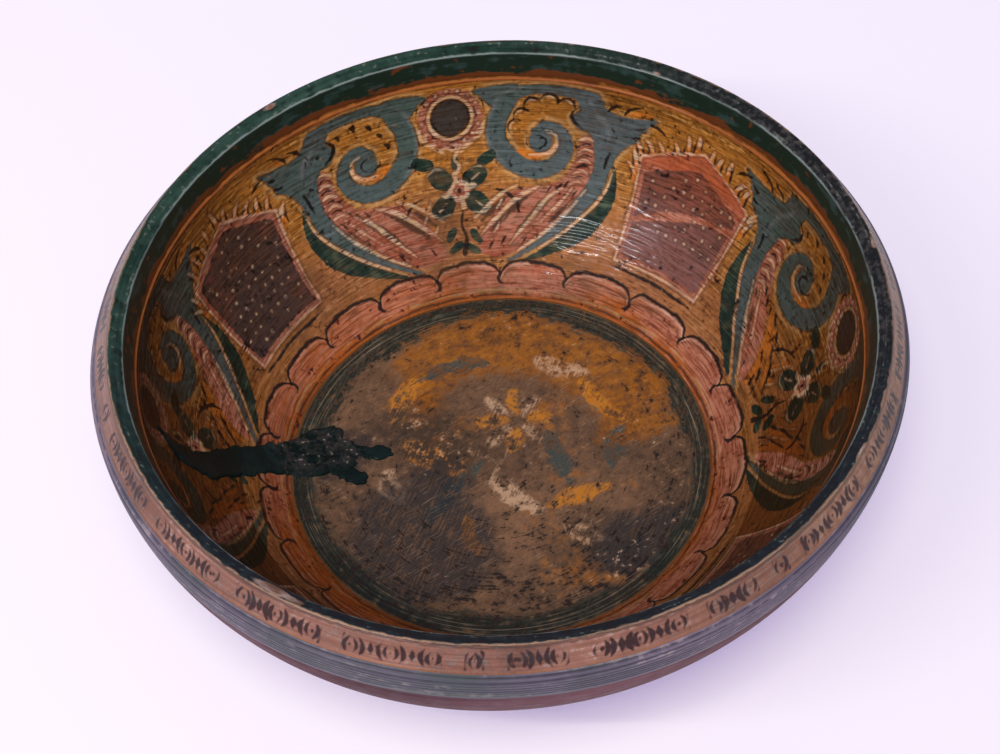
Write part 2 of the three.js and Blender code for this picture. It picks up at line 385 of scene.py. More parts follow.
def paintLeafAndStem(brush):
    # broad leaf that the scroll springs from, with its stem down to the border
    brush.shape("blue", [
        (21, 3.4), (24.5, 3.8), (27, 6.8), (28.3, 12.8), (30.5, 14.8), (33.6, 14.2), (37.8, 11.6),
        (36.4, 16.5), (36, 20), (35.2, 22), (35, 26), (33.6, 29), (32.2, 33), (31.2, 39), (30.6, 46),
        (30.2, 54), (28.6, 63), (26, 72), (22, 82), (17.4, 90), (12.5, 96.6), (10.8, 96.6), (14, 92.5),
        (18.6, 84), (22, 74), (24.8, 63), (26.6, 54), (27.3, 44), (26.8, 35), (25.6, 28.5), (23.2, 26),
        (21.9, 21), (23.3, 15.8), (22.6, 10)])
    # dark leaf close along the stem's outer side, and the pale rib between them
    brush.shape("leaf", [(31.2, 42), (32.7, 52), (32.7, 63), (31.2, 73.5), (28.2, 82.5), (23.8, 89.6),
                         (18.4, 95.2), (14.6, 96.8), (19, 90), (23.2, 82), (27, 72), (29.6, 63), (31, 54)])
    brush.line("pale", [(31.4, 44), (30.8, 54), (29.2, 63), (26.6, 72), (22.7, 82), (18.2, 90)],
               [0.25, 0.5, 0.6, 0.6, 0.5, 0.3])
    brush.line("lit", [(32.4, 60), (31.6, 70), (28.8, 79), (25, 87)], [0.2, 0.6, 0.7, 0.2])
    # the bite, and brush strokes over the notch
    brush.line("dark", [(23.2, 14.6), (22, 18.5), (22.6, 23), (24.4, 26.4)], [0.4, 0.9, 0.9, 0.3])
    for stroke in ([(28.6, 13.6), (29.4, 10.6), (31, 9)], [(31.6, 13.4), (32.6, 9.6), (35, 6)],
                   [(35.8, 17.8), (35, 18.8), (34.2, 19.4)], [(35, 23.8), (34.4, 24.6), (33.6, 25)],
                   [(36.8, 14.6), (38.6, 15.6), (40, 18.5)], [(30, 36), (29.6, 40), (29.4, 45)]):
        brush.line("dark", stroke, [0.6, 0.9, 0.3])
    brush.line("warm", [(37, 9.4), (34.4, 10.6), (32, 13)], [0.3, 1.1, 0.3])
    brush.line("lit", [(25, 9), (26.4, 16), (28.6, 22), (29.4, 30)], [0.3, 1.3, 1.5, 0.3])


def paintShell(brush, full):
    # sheaf of blades between scroll and stem: pink ground, brown hollows, pale lit edges; it fans
    # out to the flower when full, and keeps close to the stem when not
    fan = [(9.2, 95), (4.4, 92), (4.2, 85), (6.6, 76), (9, 67), (12.4, 60.6), (19.4, 56.5)]
    close = [(11.2, 92), (12.8, 82), (15.2, 73), (18, 66), (20.6, 58.5)]
    brush.shape("pink", [
        (25, 28.6), (26.6, 30.5), (27.2, 36), (27.6, 45), (26.8, 54), (25, 63), (22, 73.5), (18.4, 83),
        (13.6, 91)] + (fan if full else close) + [(22.3, 50), (23.6, 42), (24, 34)])
    hollows = [([(24.4, 62), (22.4, 69), (20, 76)], 0.9), ([(20.4, 61), (17.4, 69), (12.8, 82.5)], 2.0),
               ([(15.4, 62.5), (11.4, 71), (6.8, 82)], 2.1), ([(10.6, 64), (7.8, 69.5), (5, 76)], 1.5),
               ([(16.6, 80), (12.6, 88.5)], 1.2)]
    edges = [([(26.6, 57), (23.8, 69), (19, 82), (13.2, 92)], 0.75),
             ([(23.8, 57.5), (21.6, 66), (18, 76.5)], 0.4),
             ([(21.8, 58), (18.8, 64.5), (15.4, 76), (11.2, 88.5)], 1.0),
             ([(17, 58.4), (13.4, 63.5), (9, 73), (4.2, 84)], 1.05),
             ([(12.4, 58.6), (9.2, 63), (6, 69), (3.2, 75)], 0.7)]
    for points, half in hollows if full else hollows[:1]:
        brush.line("hollow", points, [0.4] + [half] * (len(points) - 2) + [0.5])
    for points, half in edges if full else edges[:2]:
        brush.line("pale", points, [0.2] + [half] * (len(points) - 2) + [0.25])
    # barbs of the narrow upper part, dark and pale by turns
    for k, y in enumerate(np.arange(31, 57, 2.9)):
        x = 25.2 - 0.0035 * (y - 38) ** 2
        brush.line("dark" if k % 2 else "pale", [(x + 1.5, y + 0.6), (x + 0.2, y - 0.4), (x - 1.3, y + 1.8)],
                   [0.3, 0.65, 0.2])
    for x, y in ((21, 57.6), (22.6, 55), (19, 59.5), (24.4, 60), (9.8, 86), (14.6, 86.5), (7, 88)):
        brush.line("dark", [(x + 0.6, y - 2.0), (x, y), (x - 0.6, y + 2.6)], [0.2, 0.55, 0.2])
    if not full:
        # an orange blade and loose dark strokes on the bare ground instead
        brush.line("warm", [(18.4, 61), (14.6, 70), (11.4, 81), (10, 90)], [0.4, 2.4, 2.6, 0.6])
        for x, y in ((16.6, 60), (13.4, 64), (11.4, 70), (12.6, 76), (8.4, 75), (9.6, 82), (6.4, 80)):
            brush.line("dark", [(x + 1.2, y - 2.4), (x, y), (x - 1.6, y + 3.2)], [0.3, 0.9, 0.2])
            brush.line("warm", [(x + 2.2, y - 1.4), (x + 1, y + 1), (x - 0.6, y + 4)], [0.3, 1.3, 0.2])


def paintMedallion(layers, axis):
    # dark disc in a pink ring, with pearls round it and a frill of small lobes below
    brush, centre = Brush(layers, axis), (0, 20.5)
    pearls, scale = 15.3, 2.93  # radius of their ring, and mm in a degree there
    brush.ring("pink", centre, 14.6, 2.4, 20, 0.35)
    brush.dots("disc", [centre], 9.8)
    brush.ring("pale", centre, 11.5, 0.75)
    brush.ring("dark", centre, 10.0, 0.7)
    brush.ring("dark", centre, 13.2, 0.35, 16, 0.4)
    a = np.radians(np.arange(5, 365, 22.5))
    brush.dots("pale", np.column_stack([pearls * np.cos(a) / scale, centre[1] + pearls * np.sin(a)]), 0.85)
    brush.ring("pale", centre, 17.2, 0.5, 16, 0.6, arc=(90, 75))
    for side in (-1, 1):
        brush.line("dark", [(side * 4.2, 8.6), (side * 5.8, 13), (side * 6.2, 18.5)], [0.3, 0.6, 0.2])
        brush.line("pale", [(side * 6.2, 24), (side * 5.4, 31), (side * 3.0, 36.5), (side * 1.4, 40)],
                   [0.3, 0.7, 0.6, 0.2])


def paintFlower(layers, axis):
    # flower under the medallion: pale ring and petals with four broad dark leaves close round them,
    # two small leaves above and a sprig below
    brush = Brush(layers, axis)
    brush.line("pale", [(-0.6, 38), (0.4, 43), (-0.4, 47), (0.4, 51)], [0.6, 0.8, 1.0, 0.5])
    for x, y, tilt in ((3.5, 52.4, -42), (-3.4, 53, 42), (3.6, 67, 42), (-3.7, 66.6, -42)):
        brush.leaf(x, y, 7.2, 5.4, tilt)
        lean, drop = math.copysign(1.0, x), 1.0 if y > 60 else -1.0
        brush.line("pale", [(x - 1.2 * lean, y + 4.2 * drop), (x + 1.0 * lean, y + 5.2 * drop),
                            (x + 2.6 * lean, y + 2.4 * drop)], [0.15, 0.5, 0.15])
        brush.line("pale", [(x - 0.6 * lean, y - 1.5 * drop), (x + 0.9 * lean, y + 1.6 * drop)], [0.2, 0.4])
    brush.leaf(6.6, 43, 6.0, 3.4, -24)
    brush.leaf(-5.8, 43.8, 5.6, 3.2, 26)
    brush.leaf(0.4, 45.4, 4.0, 2.2, 85)
    brush.ring("pink", (0, 59.5), 3.2, 3.2, 4, 0.5)
    brush.ring("pale", (0, 59.5), 4.3, 1.1, 5, 0.5)
    for a in np.radians(np.arange(8, 368, 90)):
        brush.line("pale", [(1.7 * math.cos(a), 59.5 + 4.5 * math.sin(a)),
                            (2.9 * math.cos(a + 0.1), 59.5 + 7.8 * math.sin(a + 0.1)),
                            (3.9 * math.cos(a), 59.5 + 10.4 * math.sin(a))], [0.7, 1.25, 0.2])
    brush.dots("dark", [(0, 59.5)], 1.2)
    brush.line("dark", [(-0.4, 70), (0.2, 77), (-0.6, 84), (0.2, 92)], [0.4, 0.8, 1.0, 1.5])
    for x, y, tilt in ((2.8, 81.5, 55), (-2.8, 83.5, -55), (2.0, 88.5, 30), (-1.9, 90, -30)):
        brush.leaf(x, y, 4.6, 2.2, tilt)
    for stroke, half in (([(-7, 60), (-9.4, 62), (-11.8, 67), (-12.4, 72)], [0.3, 0.9, 1.0, 0.6]),
                         ([(7, 60), (9.6, 62), (11.6, 67), (12.2, 71)], [0.3, 0.7, 0.8, 0.3])):
        brush.line("dark", stroke, half)
    for x, y in ((7.4, 66), (8.6, 72), (-7.6, 68), (-8.8, 74), (6.6, 78), (-7, 80)):
        brush.line("warm", [(x - 0.5, y - 2), (x, y), (x + 0.6, y + 1.6)], [0.3, 1.5, 0.4])
        brush.line("pale", [(x - 1.2, y - 2.6), (x - 0.7, y), (x, y + 2.2)], [0.15, 0.45, 0.15])


def paintTrellis(layers, axis, half, drop):
    # five-sided panel with rows of dots in a dark field and a pink frame, its top deeper by the
    # drop, and flame-like leaves round it
    brush, inner = Brush(layers, axis), half - 1.6
    rubbed = drop > 4  # only the deepest field is rubbed through
    spot, edge = brush.shape("pink", [(-half, 33), (0, 17.5), (half, 32), (half - 0.6, 88),
                                      (-half + 0.6, 87)], smooth=False)
    brush.lay("pale", spot, abs(edge + 0.7) - 0.5)
    field = [(-inner, 36 + drop), (0, 23 + drop), (inner, 35 + drop), (inner - 0.3, 84), (-inner + 0.3, 83.5)]
    spot, edge = brush.shape("panel", field, smooth=False)
    outline = np.maximum(abs(edge) - 0.3, 0.9 - 0.03 * drop * edge) if drop else abs(edge) - 0.25
    brush.lay("dark", spot, outline)
    if rubbed:
        # band rubbed through the field, aslant, and no dots under it
        brush.wipe("panel", [(-inner - 1, 47), (-inner / 3, 51), (inner / 3, 57), (inner + 1, 66)],
                   [2.2, 1.6, 2.4, 1.2])
    luck = np.random.default_rng(int(axis * 10) % 997)
    for k, y in enumerate(np.arange(37 + drop, 66 if rubbed else 82, 6.0)):
        x = np.arange(-inner + 1.6 + (k % 2) * 1.1, inner - 1.0, 2.2)
        places = np.column_stack([x, y + 0.12 * x]) + luck.uniform(-0.16, 0.16, (len(x), 2))
        for radius in (0.52, 0.72):
            brush.dots("pale", places[luck.uniform(0, 1, len(x)) > 0.5], radius)
    brush.dots("pale", [(-2.4, 31.5 + drop), (2.2, 31 + drop), (0, 27.6 + drop)], 0.7)
    brush.line("dark", [(-half + 1, 90.5), (-half / 2, 91), (0, 90.6), (half / 2, 91), (half - 0.5, 90.3)],
               [0.4, 0.9, 1.0, 0.9, 0.4])
    # flames along the top of the frame: warm body, dark outline on both sides, pale tip
    for side in (-1, 1):
        for x in np.append(np.arange(1.2, half + 0.2, 2.2), [half + 0.3] * 2):
            x, size = x + luck.uniform(-0.5, 0.5), luck.uniform(6.0, 13.0)
            y = 19.5 + 15 * min(x / half, 1.0) + (luck.uniform(3, 15) if x > half else 0)
            lean = 0.6 + 2.0 * x / half + luck.uniform(-1.2, 1.2)
            for layer, shift, wide, first, last in (
                    ("warm", 0, 2.2, 0.0, 1.0), ("dark", 0.85, 0.7, 0.0, 0.8),
                    ("dark", -0.75, 0.5, 0.3, 0.9), ("pale", -0.1, 1.0, 0.4, 0.98)):
                way = np.linspace(first, last, 4)
                aside = side * (x + shift * (1 - 0.5 * way) + lean * (way ** 2 - 0.25 * way))
                brush.line(layer, np.column_stack([aside, y - size * way]),
                           [wide * 0.4, wide, wide * 0.8, 0.15])


# places round the bowl in degrees, anticlockwise from +X
layout = dict(
    medallions=((100, 1.0, 1.0), (5, 1.0, 0.9), (276, 0.92, 0.92), (188.5, 0.88, 0.86)),
    panels=((52, 12.2, 4.6), (148, 12.0, 0.0), (232.5, 11.5, 0.0), (-39.5, 11.5, 3.0)),
    cusps=(3, 19.3, 36.8, 55.5, 73.5, 91, 107.7, 124, 141.7, 158, 174, 190, 207, 224, 241, 258, 275,
           292, 309, 327, 345),
    lobeTop=97.6, lobeDrop=7.0, fullShell=100, flowerShift=0.6,
)


def borderEdge(az):
    # edge of the lobed border: round over each lobe, dropping steeply to its ends
    ends = np.array(layout["cusps"] + (layout["cusps"][0] + 360,), float)
    a = (az - ends[0]) % 360 + ends[0]
    k = np.clip(np.searchsorted(ends, a, side="right") - 1, 0, len(ends) - 2)
    t = abs(2 * (a - ends[k]) / (ends[k + 1] - ends[k]) - 1)
    return layout["lobeTop"] + 1.6 * t ** 2 + (layout["lobeDrop"] - 1.6) * t ** 9


def paintWall():
    layers = {name: np.full((wall["rows"] + 1, wall["columns"]), far) for name in layerNames}
    for axis, left, right in layout["medallions"]:
        for side, squeeze in ((1, left), (-1, right)):
            half = Brush(layers, axis, side, squeeze)
            paintLeafAndStem(half)
            paintShell(half, axis == layout["fullShell"])
            paintScroll(half, side < 0)
        paintMedallion(layers, axis)
        paintFlower(layers, axis - layout["flowerShift"])
    for axis, half, drop in layout["panels"]:
        paintTrellis(layers, axis, half, drop)
    # the border's edge, and a hook of the brush where two lobes meet
    az = np.arange(wall["columns"]) * columnTurn
    layers["lobe"] = borderEdge(az)[None] - down[:, None]
    low = layout["lobeTop"] + layout["lobeDrop"]
    hook = [(0, low - 1.5), (0.5, low + 1.2), (0.1, low + 3.4), (-1.0, low + 4.4)]
    for k, cusp in enumerate(layout["cusps"]):
        Brush(layers, cusp, 1 if k % 3 else -1).line("dark", hook, [0.8, 1.0, 0.8, 0.2])
    return layers


# Shader expressions

class Value:
    # a socket of a node tree, whose sums and products add their Math nodes
    def __init__(self, socket):
        self.socket = socket

    def node(self, kind, settings=None, inputs=None, out=0):
        # any node: its settings first, then a number, colour or link for each named socket
        tree = self.socket.id_data
        made = tree.nodes.new(kind)
        for key, setting in (settings or {}).items():
            setattr(made, key, setting)
        for key, value in (inputs or {}).items():
            if isinstance(value, Value):
                tree.links.new(value.socket, made.inputs[key])
            else:
                made.inputs[key].default_value = value
        return Value(made.outputs[out])

    def math(self, operation, *others, clamp=False):
        return self.node("ShaderNodeMath", {"operation": operation, "use_clamp": clamp},
                         dict(enumerate((self,) + others)))

    def __add__(self, other):
        return self.math("ADD", other)

    def __sub__(self, other):
        return self.math("SUBTRACT", other)

    def __rsub__(self, other):
        return self.math("MULTIPLY_ADD", -1.0, other)

    def __mul__(self, other):
        return self.math("MULTIPLY", other)

    __radd__, __rmul__ = __add__, __mul__

    def inside(self, soft=0.3):
        # 1 where a distance is below nought, 0 above, over a soft edge
        return self.math("MULTIPLY_ADD", -0.5 / soft, 0.5, clamp=True)

    def above(self, level, soft):
        # 0 below the level and 1 above it, over a soft edge
        return self.math("MULTIPLY_ADD", 0.5 / soft, 0.5 - level * 0.5 / soft, clamp=True)

    def near(self, place, half, soft=0.3):
        # 1 within half of a place
        return ((self - place).math("ABSOLUTE") - half).inside(soft)

    def blend(self, a, b):
        # colour a where this mask is 0, colour b where it is 1; a paint goes by its name
        a, b = (paint[c] if isinstance(c, str) else c for c in (a, b))
        a, b = (c if isinstance(c, Value) else (*c, 1.0) for c in (a, b))
        return self.node("ShaderNodeMix", {"data_type": "RGBA"}, {0: self, 6: a, 7: b}, 2)


class Finish:
    # one material: its coordinates, layers and noises, its coats of colour, and its surface
    def __init__(self, name, **fixed):
        self.material = bpy.data.materials.new(name)
        self.material.use_nodes = True
        self.tree = self.material.node_tree
        self.surface = self.tree.nodes["Principled BSDF"]
        for key, value in fixed.items():
            self.surface.inputs[key.replace("_", " ")].default_value = value
        self.place = Value(self.tree.nodes.new("ShaderNodeTexCoord").outputs["Object"])
        self.known, self.colour = {}, None

    def layer(self, name):
        if name not in self.known:
            read = self.tree.nodes.new("ShaderNodeAttribute")
            read.attribute_name = name
            self.known[name] = Value(read.outputs["Fac"])
        return self.known[name]

    def axis(self, k):
        # one coordinate in mm
        if k not in self.known:
            parts = self.tree.nodes.new("ShaderNodeSeparateXYZ")
            self.tree.links.new(self.place.socket, parts.inputs[0])
            self.known.update({i: Value(parts.outputs[i]) * 1000 for i in range(3)})
        return self.known[k]

    def noise(self, place, scale, detail, seed):
        # cloudy noise, mostly from -1 to 1
        made = place.node("ShaderNodeTexNoise", {"noise_dimensions": "4D"},
                          {"Vector": place, "W": seed, "Scale": scale, "Detail": detail})
        return made.math("MULTIPLY_ADD", 8.0, -4.0)

    def grain(self, size, detail=2.0, seed=0.0):
        # spots of the given size in mm
        return self.noise(self.place, 500 / size, detail, seed)

    def streaks(self, along, across, detail=2.0, seed=0.0):
        # drawn out along the turning: long in x and y, short down the profile
        place = self.place.node("ShaderNodeCombineXYZ", None, {
            0: self.axis(0) * (0.5 / along), 1: self.axis(1) * (0.5 / along),
            2: self.layer("down") * (0.5 / across)})
        return self.noise(place, 1.0, detail, seed)

    def strokes(self, turn, along, across, detail=2.0, seed=0.0):
        # drawn out along one direction in plan, as brush strokes and wood grain are
        c, s, x, y = math.cos(math.radians(turn)), math.sin(math.radians(turn)), self.axis(0), self.axis(1)
        place = self.place.node("ShaderNodeCombineXYZ", None, {
            0: (x * c + y * s) * (0.5 / along), 1: (y * c - x * s) * (0.5 / across)})
        return self.noise(place, 1.0, detail, seed)

    def cracks(self, size):
        # distance to the nearest edge between cells of the given size, in cell widths
        return self.place.node("ShaderNodeTexVoronoi", {"feature": "DISTANCE_TO_EDGE"},
                               {"Vector": self.place, "Scale": 1000 / size})

    def coat(self, mask, tone):
        # a coat over the colour so far, where the mask is 1
        self.colour = mask.blend(self.colour, tone)

    def done(self, roughness, heights):
        # heights in mm
        bump = self.place.node("ShaderNodeBump", None, {"Height": heights, "Distance": mm, "Strength": 1.0})
        for key, value in (("Base Color", self.colour), ("Roughness", roughness), ("Normal", bump)):
            self.tree.links.new(value.socket, self.surface.inputs[key])
        return self.material


# Paints: linear colours

paint = dict(
    # inside wall
    ochre=(0.44, 0.160, 0.024), ochreDark=(0.115, 0.042, 0.009), ochreLight=(0.62, 0.30, 0.075),
    rose=(0.34, 0.125, 0.070), redBrown=(0.105, 0.028, 0.007), orange=(0.56, 0.165, 0.020),
    orangeLine=(0.32, 0.085, 0.020), pink=(0.52, 0.205, 0.130), pinkDeep=(0.27, 0.066, 0.030),
    border=(0.36, 0.098, 0.049), borderLight=(0.60, 0.250, 0.160), borderOrange=(0.40, 0.094, 0.011),
    panel=(0.062, 0.034, 0.026), panelRed=(0.24, 0.062, 0.032), hollow=(0.090, 0.036, 0.018),
    blue=(0.086, 0.104, 0.106), blueGreen=(0.062, 0.092, 0.078), blueLight=(0.19, 0.20, 0.20),
    leaf=(0.013, 0.028, 0.018), leafLight=(0.075, 0.100, 0.058), disc=(0.046, 0.034, 0.027),
    dark=(0.008, 0.0065, 0.005), pale=(0.78, 0.56, 0.43), cream=(0.60, 0.37, 0.16),
    lip=(0.008, 0.018, 0.010), lipBlue=(0.024, 0.046, 0.040), wood=(0.25, 0.130, 0.065),
    paintedHaze=(0.212, 0.095, 0.083), shadeAndVarnish=(0.262, 0.190, 0.097),
    soot=(0.060, 0.026, 0.009), fire=(0.40, 0.085, 0.028),
    # the rim
    rimGreen=(0.007, 0.024, 0.015), rimGreenLight=(0.030, 0.066, 0.046), rimGrey=(0.009, 0.010, 0.010),
    rimGreyLight=(0.060, 0.055, 0.050), rimNight=(0.005, 0.010, 0.012), rimNightLight=(0.018, 0.030, 0.032),
    rimRubbed=(0.15, 0.16, 0.14), rimDirt=(0.010, 0.008, 0.005), rimWood=(0.38, 0.23, 0.15),
    mouthHighlight=(0.27, 0.31, 0.29), chip=(0.20, 0.10, 0.065), chipLight=(0.42, 0.30, 0.25),
    # ornament band
    band=(0.155, 0.060, 0.037), bandLight=(0.32, 0.152, 0.115), bandRubbed=(0.46, 0.33, 0.28),
    bandTan=(0.20, 0.085, 0.034), bandTanLight=(0.40, 0.235, 0.130), ink=(0.031, 0.014, 0.015),
    bandTop=(0.26, 0.095, 0.026), bandBottom=(0.060, 0.040, 0.034), bandDirt=(0.040, 0.032, 0.032),
    # turned lines
    lines=(0.082, 0.070, 0.100), linesLight=(0.195, 0.152, 0.205), linesCut=(0.024, 0.020, 0.026),
    linesRubbed=(0.36, 0.28, 0.29), linesGreen=(0.052, 0.085, 0.062), linesBrown=(0.16, 0.070, 0.040),
    # belly and foot
    belly=(0.082, 0.026, 0.038), bellyLight=(0.176, 0.070, 0.088), bellyRing=(0.020, 0.010, 0.010),
    bellyRubbed=(0.22, 0.14, 0.09), bare=(0.095, 0.050, 0.026), bareLight=(0.21, 0.115, 0.060),
    bareDirt=(0.045, 0.026, 0.016), footPaint=(0.074, 0.024, 0.034), footPaintLight=(0.150, 0.058, 0.072),
    footWorn=(0.23, 0.15, 0.09),
    # floor
    floorBrown=(0.056, 0.033, 0.020), floorBrownLight=(0.195, 0.098, 0.052),
    floorOchre=(0.17, 0.050, 0.006), floorOchreLight=(0.34, 0.115, 0.013), orangeRest=(0.46, 0.16, 0.015),
    greenRest=(0.034, 0.054, 0.050), creamRest=(0.46, 0.28, 0.17), scuff=(0.022, 0.022, 0.023),
    pit=(0.011, 0.009, 0.008), fleck=(0.44, 0.29, 0.20), scratch=(0.28, 0.175, 0.11),
    scratchDark=(0.030, 0.020, 0.015), edge=(0.010, 0.015, 0.011), edgeLight=(0.070, 0.064, 0.048),
    edgeLine=(0.26, 0.20, 0.14), edgeRubbed=(0.17, 0.075, 0.022),
    # pitch
    pitch=(0.003, 0.008, 0.007), pitchLight=(0.009, 0.019, 0.017), pitchDust=(0.034, 0.028, 0.026),
    pitchGlint=(0.23, 0.20, 0.18),
)


def lipColours(finish, ground, v):
    # dark paint of the lip with a ragged lower edge, red-brown under it, then an orange line
    ragged, rough = finish.streaks(10, 2.2, 3, 7), finish.grain(2.5, 3, 8)
    ground = ((v + ragged * 0.5).near(0.0, 1.1, 0.6) * 0.85).blend(ground, "orangeLine")
    ground = (v + ragged * 0.8 + rough * 0.3).above(-1.6, 0.5).blend("redBrown", ground)
    dark = (ragged + rough * 0.5).above(0.9, 0.6).blend("lip", "lipBlue")
    dark = (ragged * -0.8 + rough * 0.6).above(1.3, 0.3).blend(dark, "redBrown")
    return (v + ragged * 1.4 + rough * 0.5).above(-4.6, 0.4).blend(dark, ground)


def wallFinish(name, lobed=False):
    finish = Finish(name, IOR=1.45, Specular_IOR_Level=0.15, Coat_Roughness=0.07, Coat_Weight=0.32)
    v = finish.layer("down")
    streak, fine = finish.streaks(40, 1.6, 3, 1), finish.streaks(6, 0.42, 2, 2)
    patch, spot, tiny = finish.grain(36, 3, 3), finish.grain(4, 4, 4), finish.grain(1.1, 2, 5)
    wobble = spot * 0.26 + tiny * 0.14

    # ochre ground, dark and light in streaks and rosier lower down
    finish.colour = (streak * 0.5 + fine * 0.4 + patch * 0.3).above(-0.35, 0.9).blend("ochreDark", "ochre")
    finish.coat((streak * -0.5 + fine * 0.4 + tiny * 0.4).above(0.75, 0.5) * 0.75, "ochreLight")
    low = v.above(60, 14) * (patch * 0.6 + fine * 0.6).above(-0.1, 1.0)
    finish.coat(low * 0.7, "rose")
    dashes = finish.streaks(3.2, 0.5, 1, 6)
    finish.coat((dashes + patch * 0.3).above(1.35, 0.4) * 0.65, "ochreDark")
    finish.coat((dashes * -1.0 + patch * 0.3).above(1.6, 0.4) * 0.5, "cream")

    # each layer of paint over the last, with a pale halo round the scrolls
    blue = finish.layer("blue") + wobble
    finish.coat(blue.near(1.5, 0.8, 0.8) * (streak + spot).above(-0.5, 1.0) * 0.55, "cream")
    finish.coat((finish.layer("warm") + wobble).inside(0.5), "orange")
    pink = (streak * 0.6 + fine * 0.6 + spot * 0.6).above(0.1, 1.0).blend("pinkDeep", "pink")
    pink = ((dashes + spot * 0.5).above(1.0, 0.4) * 0.7).blend(pink, "hollow")
    fiery = (v * -1.0 + spot * 2).above(-37, 3) * finish.axis(0).above(55, 10) * finish.axis(1).above(80, 15)
    pink = (fiery * 0.85).blend(pink, "fire")
    finish.coat((finish.layer("pink") + wobble + streak * 0.3).inside(0.5), pink)
    finish.coat((finish.layer("hollow") + wobble * 2.0).inside(0.7), "hollow")
    # the field's red tone varies at random and grows towards +X; the growth towards +X is painted light, the
    # panels on the left standing in shade
    field = (fine * 0.6 + patch * 0.8 + spot * 0.4 + finish.axis(0) * 0.006).above(0.6, 1.2).blend(
        "panel", "panelRed")
    field = ((dashes + spot * 0.4).above(0.9, 0.4) * 0.6).blend(field, "dark")
    # painted reflection: a lilac haze over the lower field of the panels at the back right, where the lamps
    # reflect in the varnish
    hazeReflection = (v + patch * 5).above(56, 12) * finish.axis(0).above(20, 20) * finish.axis(1).above(20, 20)
    field = (hazeReflection * (fine * 0.5 + streak * 0.5).above(-0.4, 1.0)).blend(field, "paintedHaze")
    finish.coat((finish.layer("panel") + wobble).inside(0.4), field)
    tint = (patch + spot * 0.3).above(0.1, 1.2).blend("blue", "blueGreen")
    light = (finish.layer("lit") + wobble * 2).inside(1.0) + (streak * 0.7 + fine * 0.5).above(1.0, 0.5)
    tint = (light * 0.5).blend(tint, "blueLight")
    tint = ((fine * -0.8 + spot * 0.5).above(1.0, 0.4) * 0.7).blend(tint, "leaf")
    finish.coat(blue.inside(0.35), tint)
    edge = (blue + spot * 0.35).near(0.2, 0.36, 0.4) * (patch * 0.7 + spot * 0.6 + fine * 0.3).above(0.0, 1.0)
    finish.coat(edge * 0.8, "dark")
    leaf = (finish.layer("leaf") + wobble).inside(0.3)
    finish.coat(leaf, (spot * 0.8 + fine * 0.6).above(0.9, 0.7).blend("leaf", "leafLight"))
    finish.coat((finish.layer("disc") + wobble).inside(0.3), "disc")

    if lobed:
        # lobes pink at the top and orange at their foot, brushed along the ring
        lobe = finish.layer("lobe") * -1.0 + wobble
        brushed = streak * 0.4 + fine * 0.5 + spot * 0.4 + tiny * 0.3
        ring = brushed.above(0.25, 1.0).blend("border", "borderLight")
        light = (lobe + spot * 0.4).near(1.9, 0.5, 0.6) * (spot + patch).above(0.0, 1.0)
        ring = (light * 0.6).blend(ring, "pale")
        warm = (v + patch * 3 + spot * 1.5).above(112.0, 2.5)
        warm = warm + (patch + spot * 0.3 + finish.axis(0) * -0.010).above(0.8, 0.8)
        ring = (warm * (brushed * -1.0).above(-0.9, 0.9)).blend(ring, "borderOrange")
        ring = ((fine * -1.0 + tiny * 0.5 + patch * 0.3).above(0.85, 0.6) * 0.55).blend(ring, "redBrown")
        second = (lobe + spot * 0.5).near(4.4, 0.45, 0.5) * (spot + patch).above(-0.3, 0.8)
        ring = (second * 0.7).blend(ring, "redBrown")
        thread = (v + fine * 0.6 + spot * 0.3).near(112.4, 0.5, 0.5) * (streak + spot).above(0.1, 0.8)
        ring = (thread * 0.6).blend(ring, "cream")
        last = (v + spot * 0.3).near(114.6, 0.6, 0.5) * (streak + spot).above(-0.6, 0.8)
        ring = (last * 0.8).blend(ring, "dark")
        finish.coat(lobe.above(0.0, 0.4), ring)
        line = (lobe + spot * 0.3).near(-0.1, 1.0, 0.5) * (spot * 0.6 + patch * 0.4).above(-1.3, 0.6)
        finish.coat(line * 0.96, "dark")
    strokes = (finish.layer("dark") + wobble).inside(0.35)
    finish.coat(strokes * (spot * 0.5 + fine * 0.4).above(-1.3, 0.5) * 0.94, "dark")
    pale = finish.layer("pale") + wobble * 1.3
    broken = (spot * 0.5 + fine * 0.7).above(-0.3, 0.6)
    finish.coat(pale.near(0.95, 0.35, 0.4) * broken * 0.6, "hollow")
    lights = pale.inside(0.5) * broken
    finish.coat(lights * 0.88, (fine * 0.6 + spot * 0.7).above(0.1, 1.0).blend("pale", "cream"))
    finish.colour = lipColours(finish, finish.colour, v)

    # wear: paint rubbed through on the turning ridges, small losses and dirt; then painted shade:
    # the colour darkened and browned over all but the far side, with random dark spots of old varnish
    losses = (finish.grain(1.5, 3, 9) + patch * 0.25).above(1.75, 0.2)
    finish.coat(losses * 0.75, "wood")
    pits = (tiny * -0.8 + spot * -0.7).above(1.4, 0.3)
    finish.coat(pits * 0.8, "dark")
    grime = (finish.grain(30, 5, 10) * 0.7 + spot * 0.5 + streak * 0.4).above(0.8, 0.9)
    finish.coat(grime * 0.7, "soot")
    # painted shade: the colour is darkened and browned towards the front and the sides, not at the back wall,
    # and random dark spots are added to it
    brown = (finish.axis(1) * -1.0 + finish.axis(0) * 0.06 + patch * 10).above(-50, 73)
    brown = brown * (1.0 - finish.layer("pink").inside(0.6) * 0.5)
    brown = brown + (tiny * -0.6 + fine * -0.5 + spot * -0.5).above(0.75, 0.9) * 0.55
    shadedAged = finish.colour.node("ShaderNodeVectorMath", {"operation": "MULTIPLY"},
                              {0: finish.colour, 1: paint["shadeAndVarnish"]})
    finish.coat(brown * (0.6 if lobed else 1.0), shadedAged)

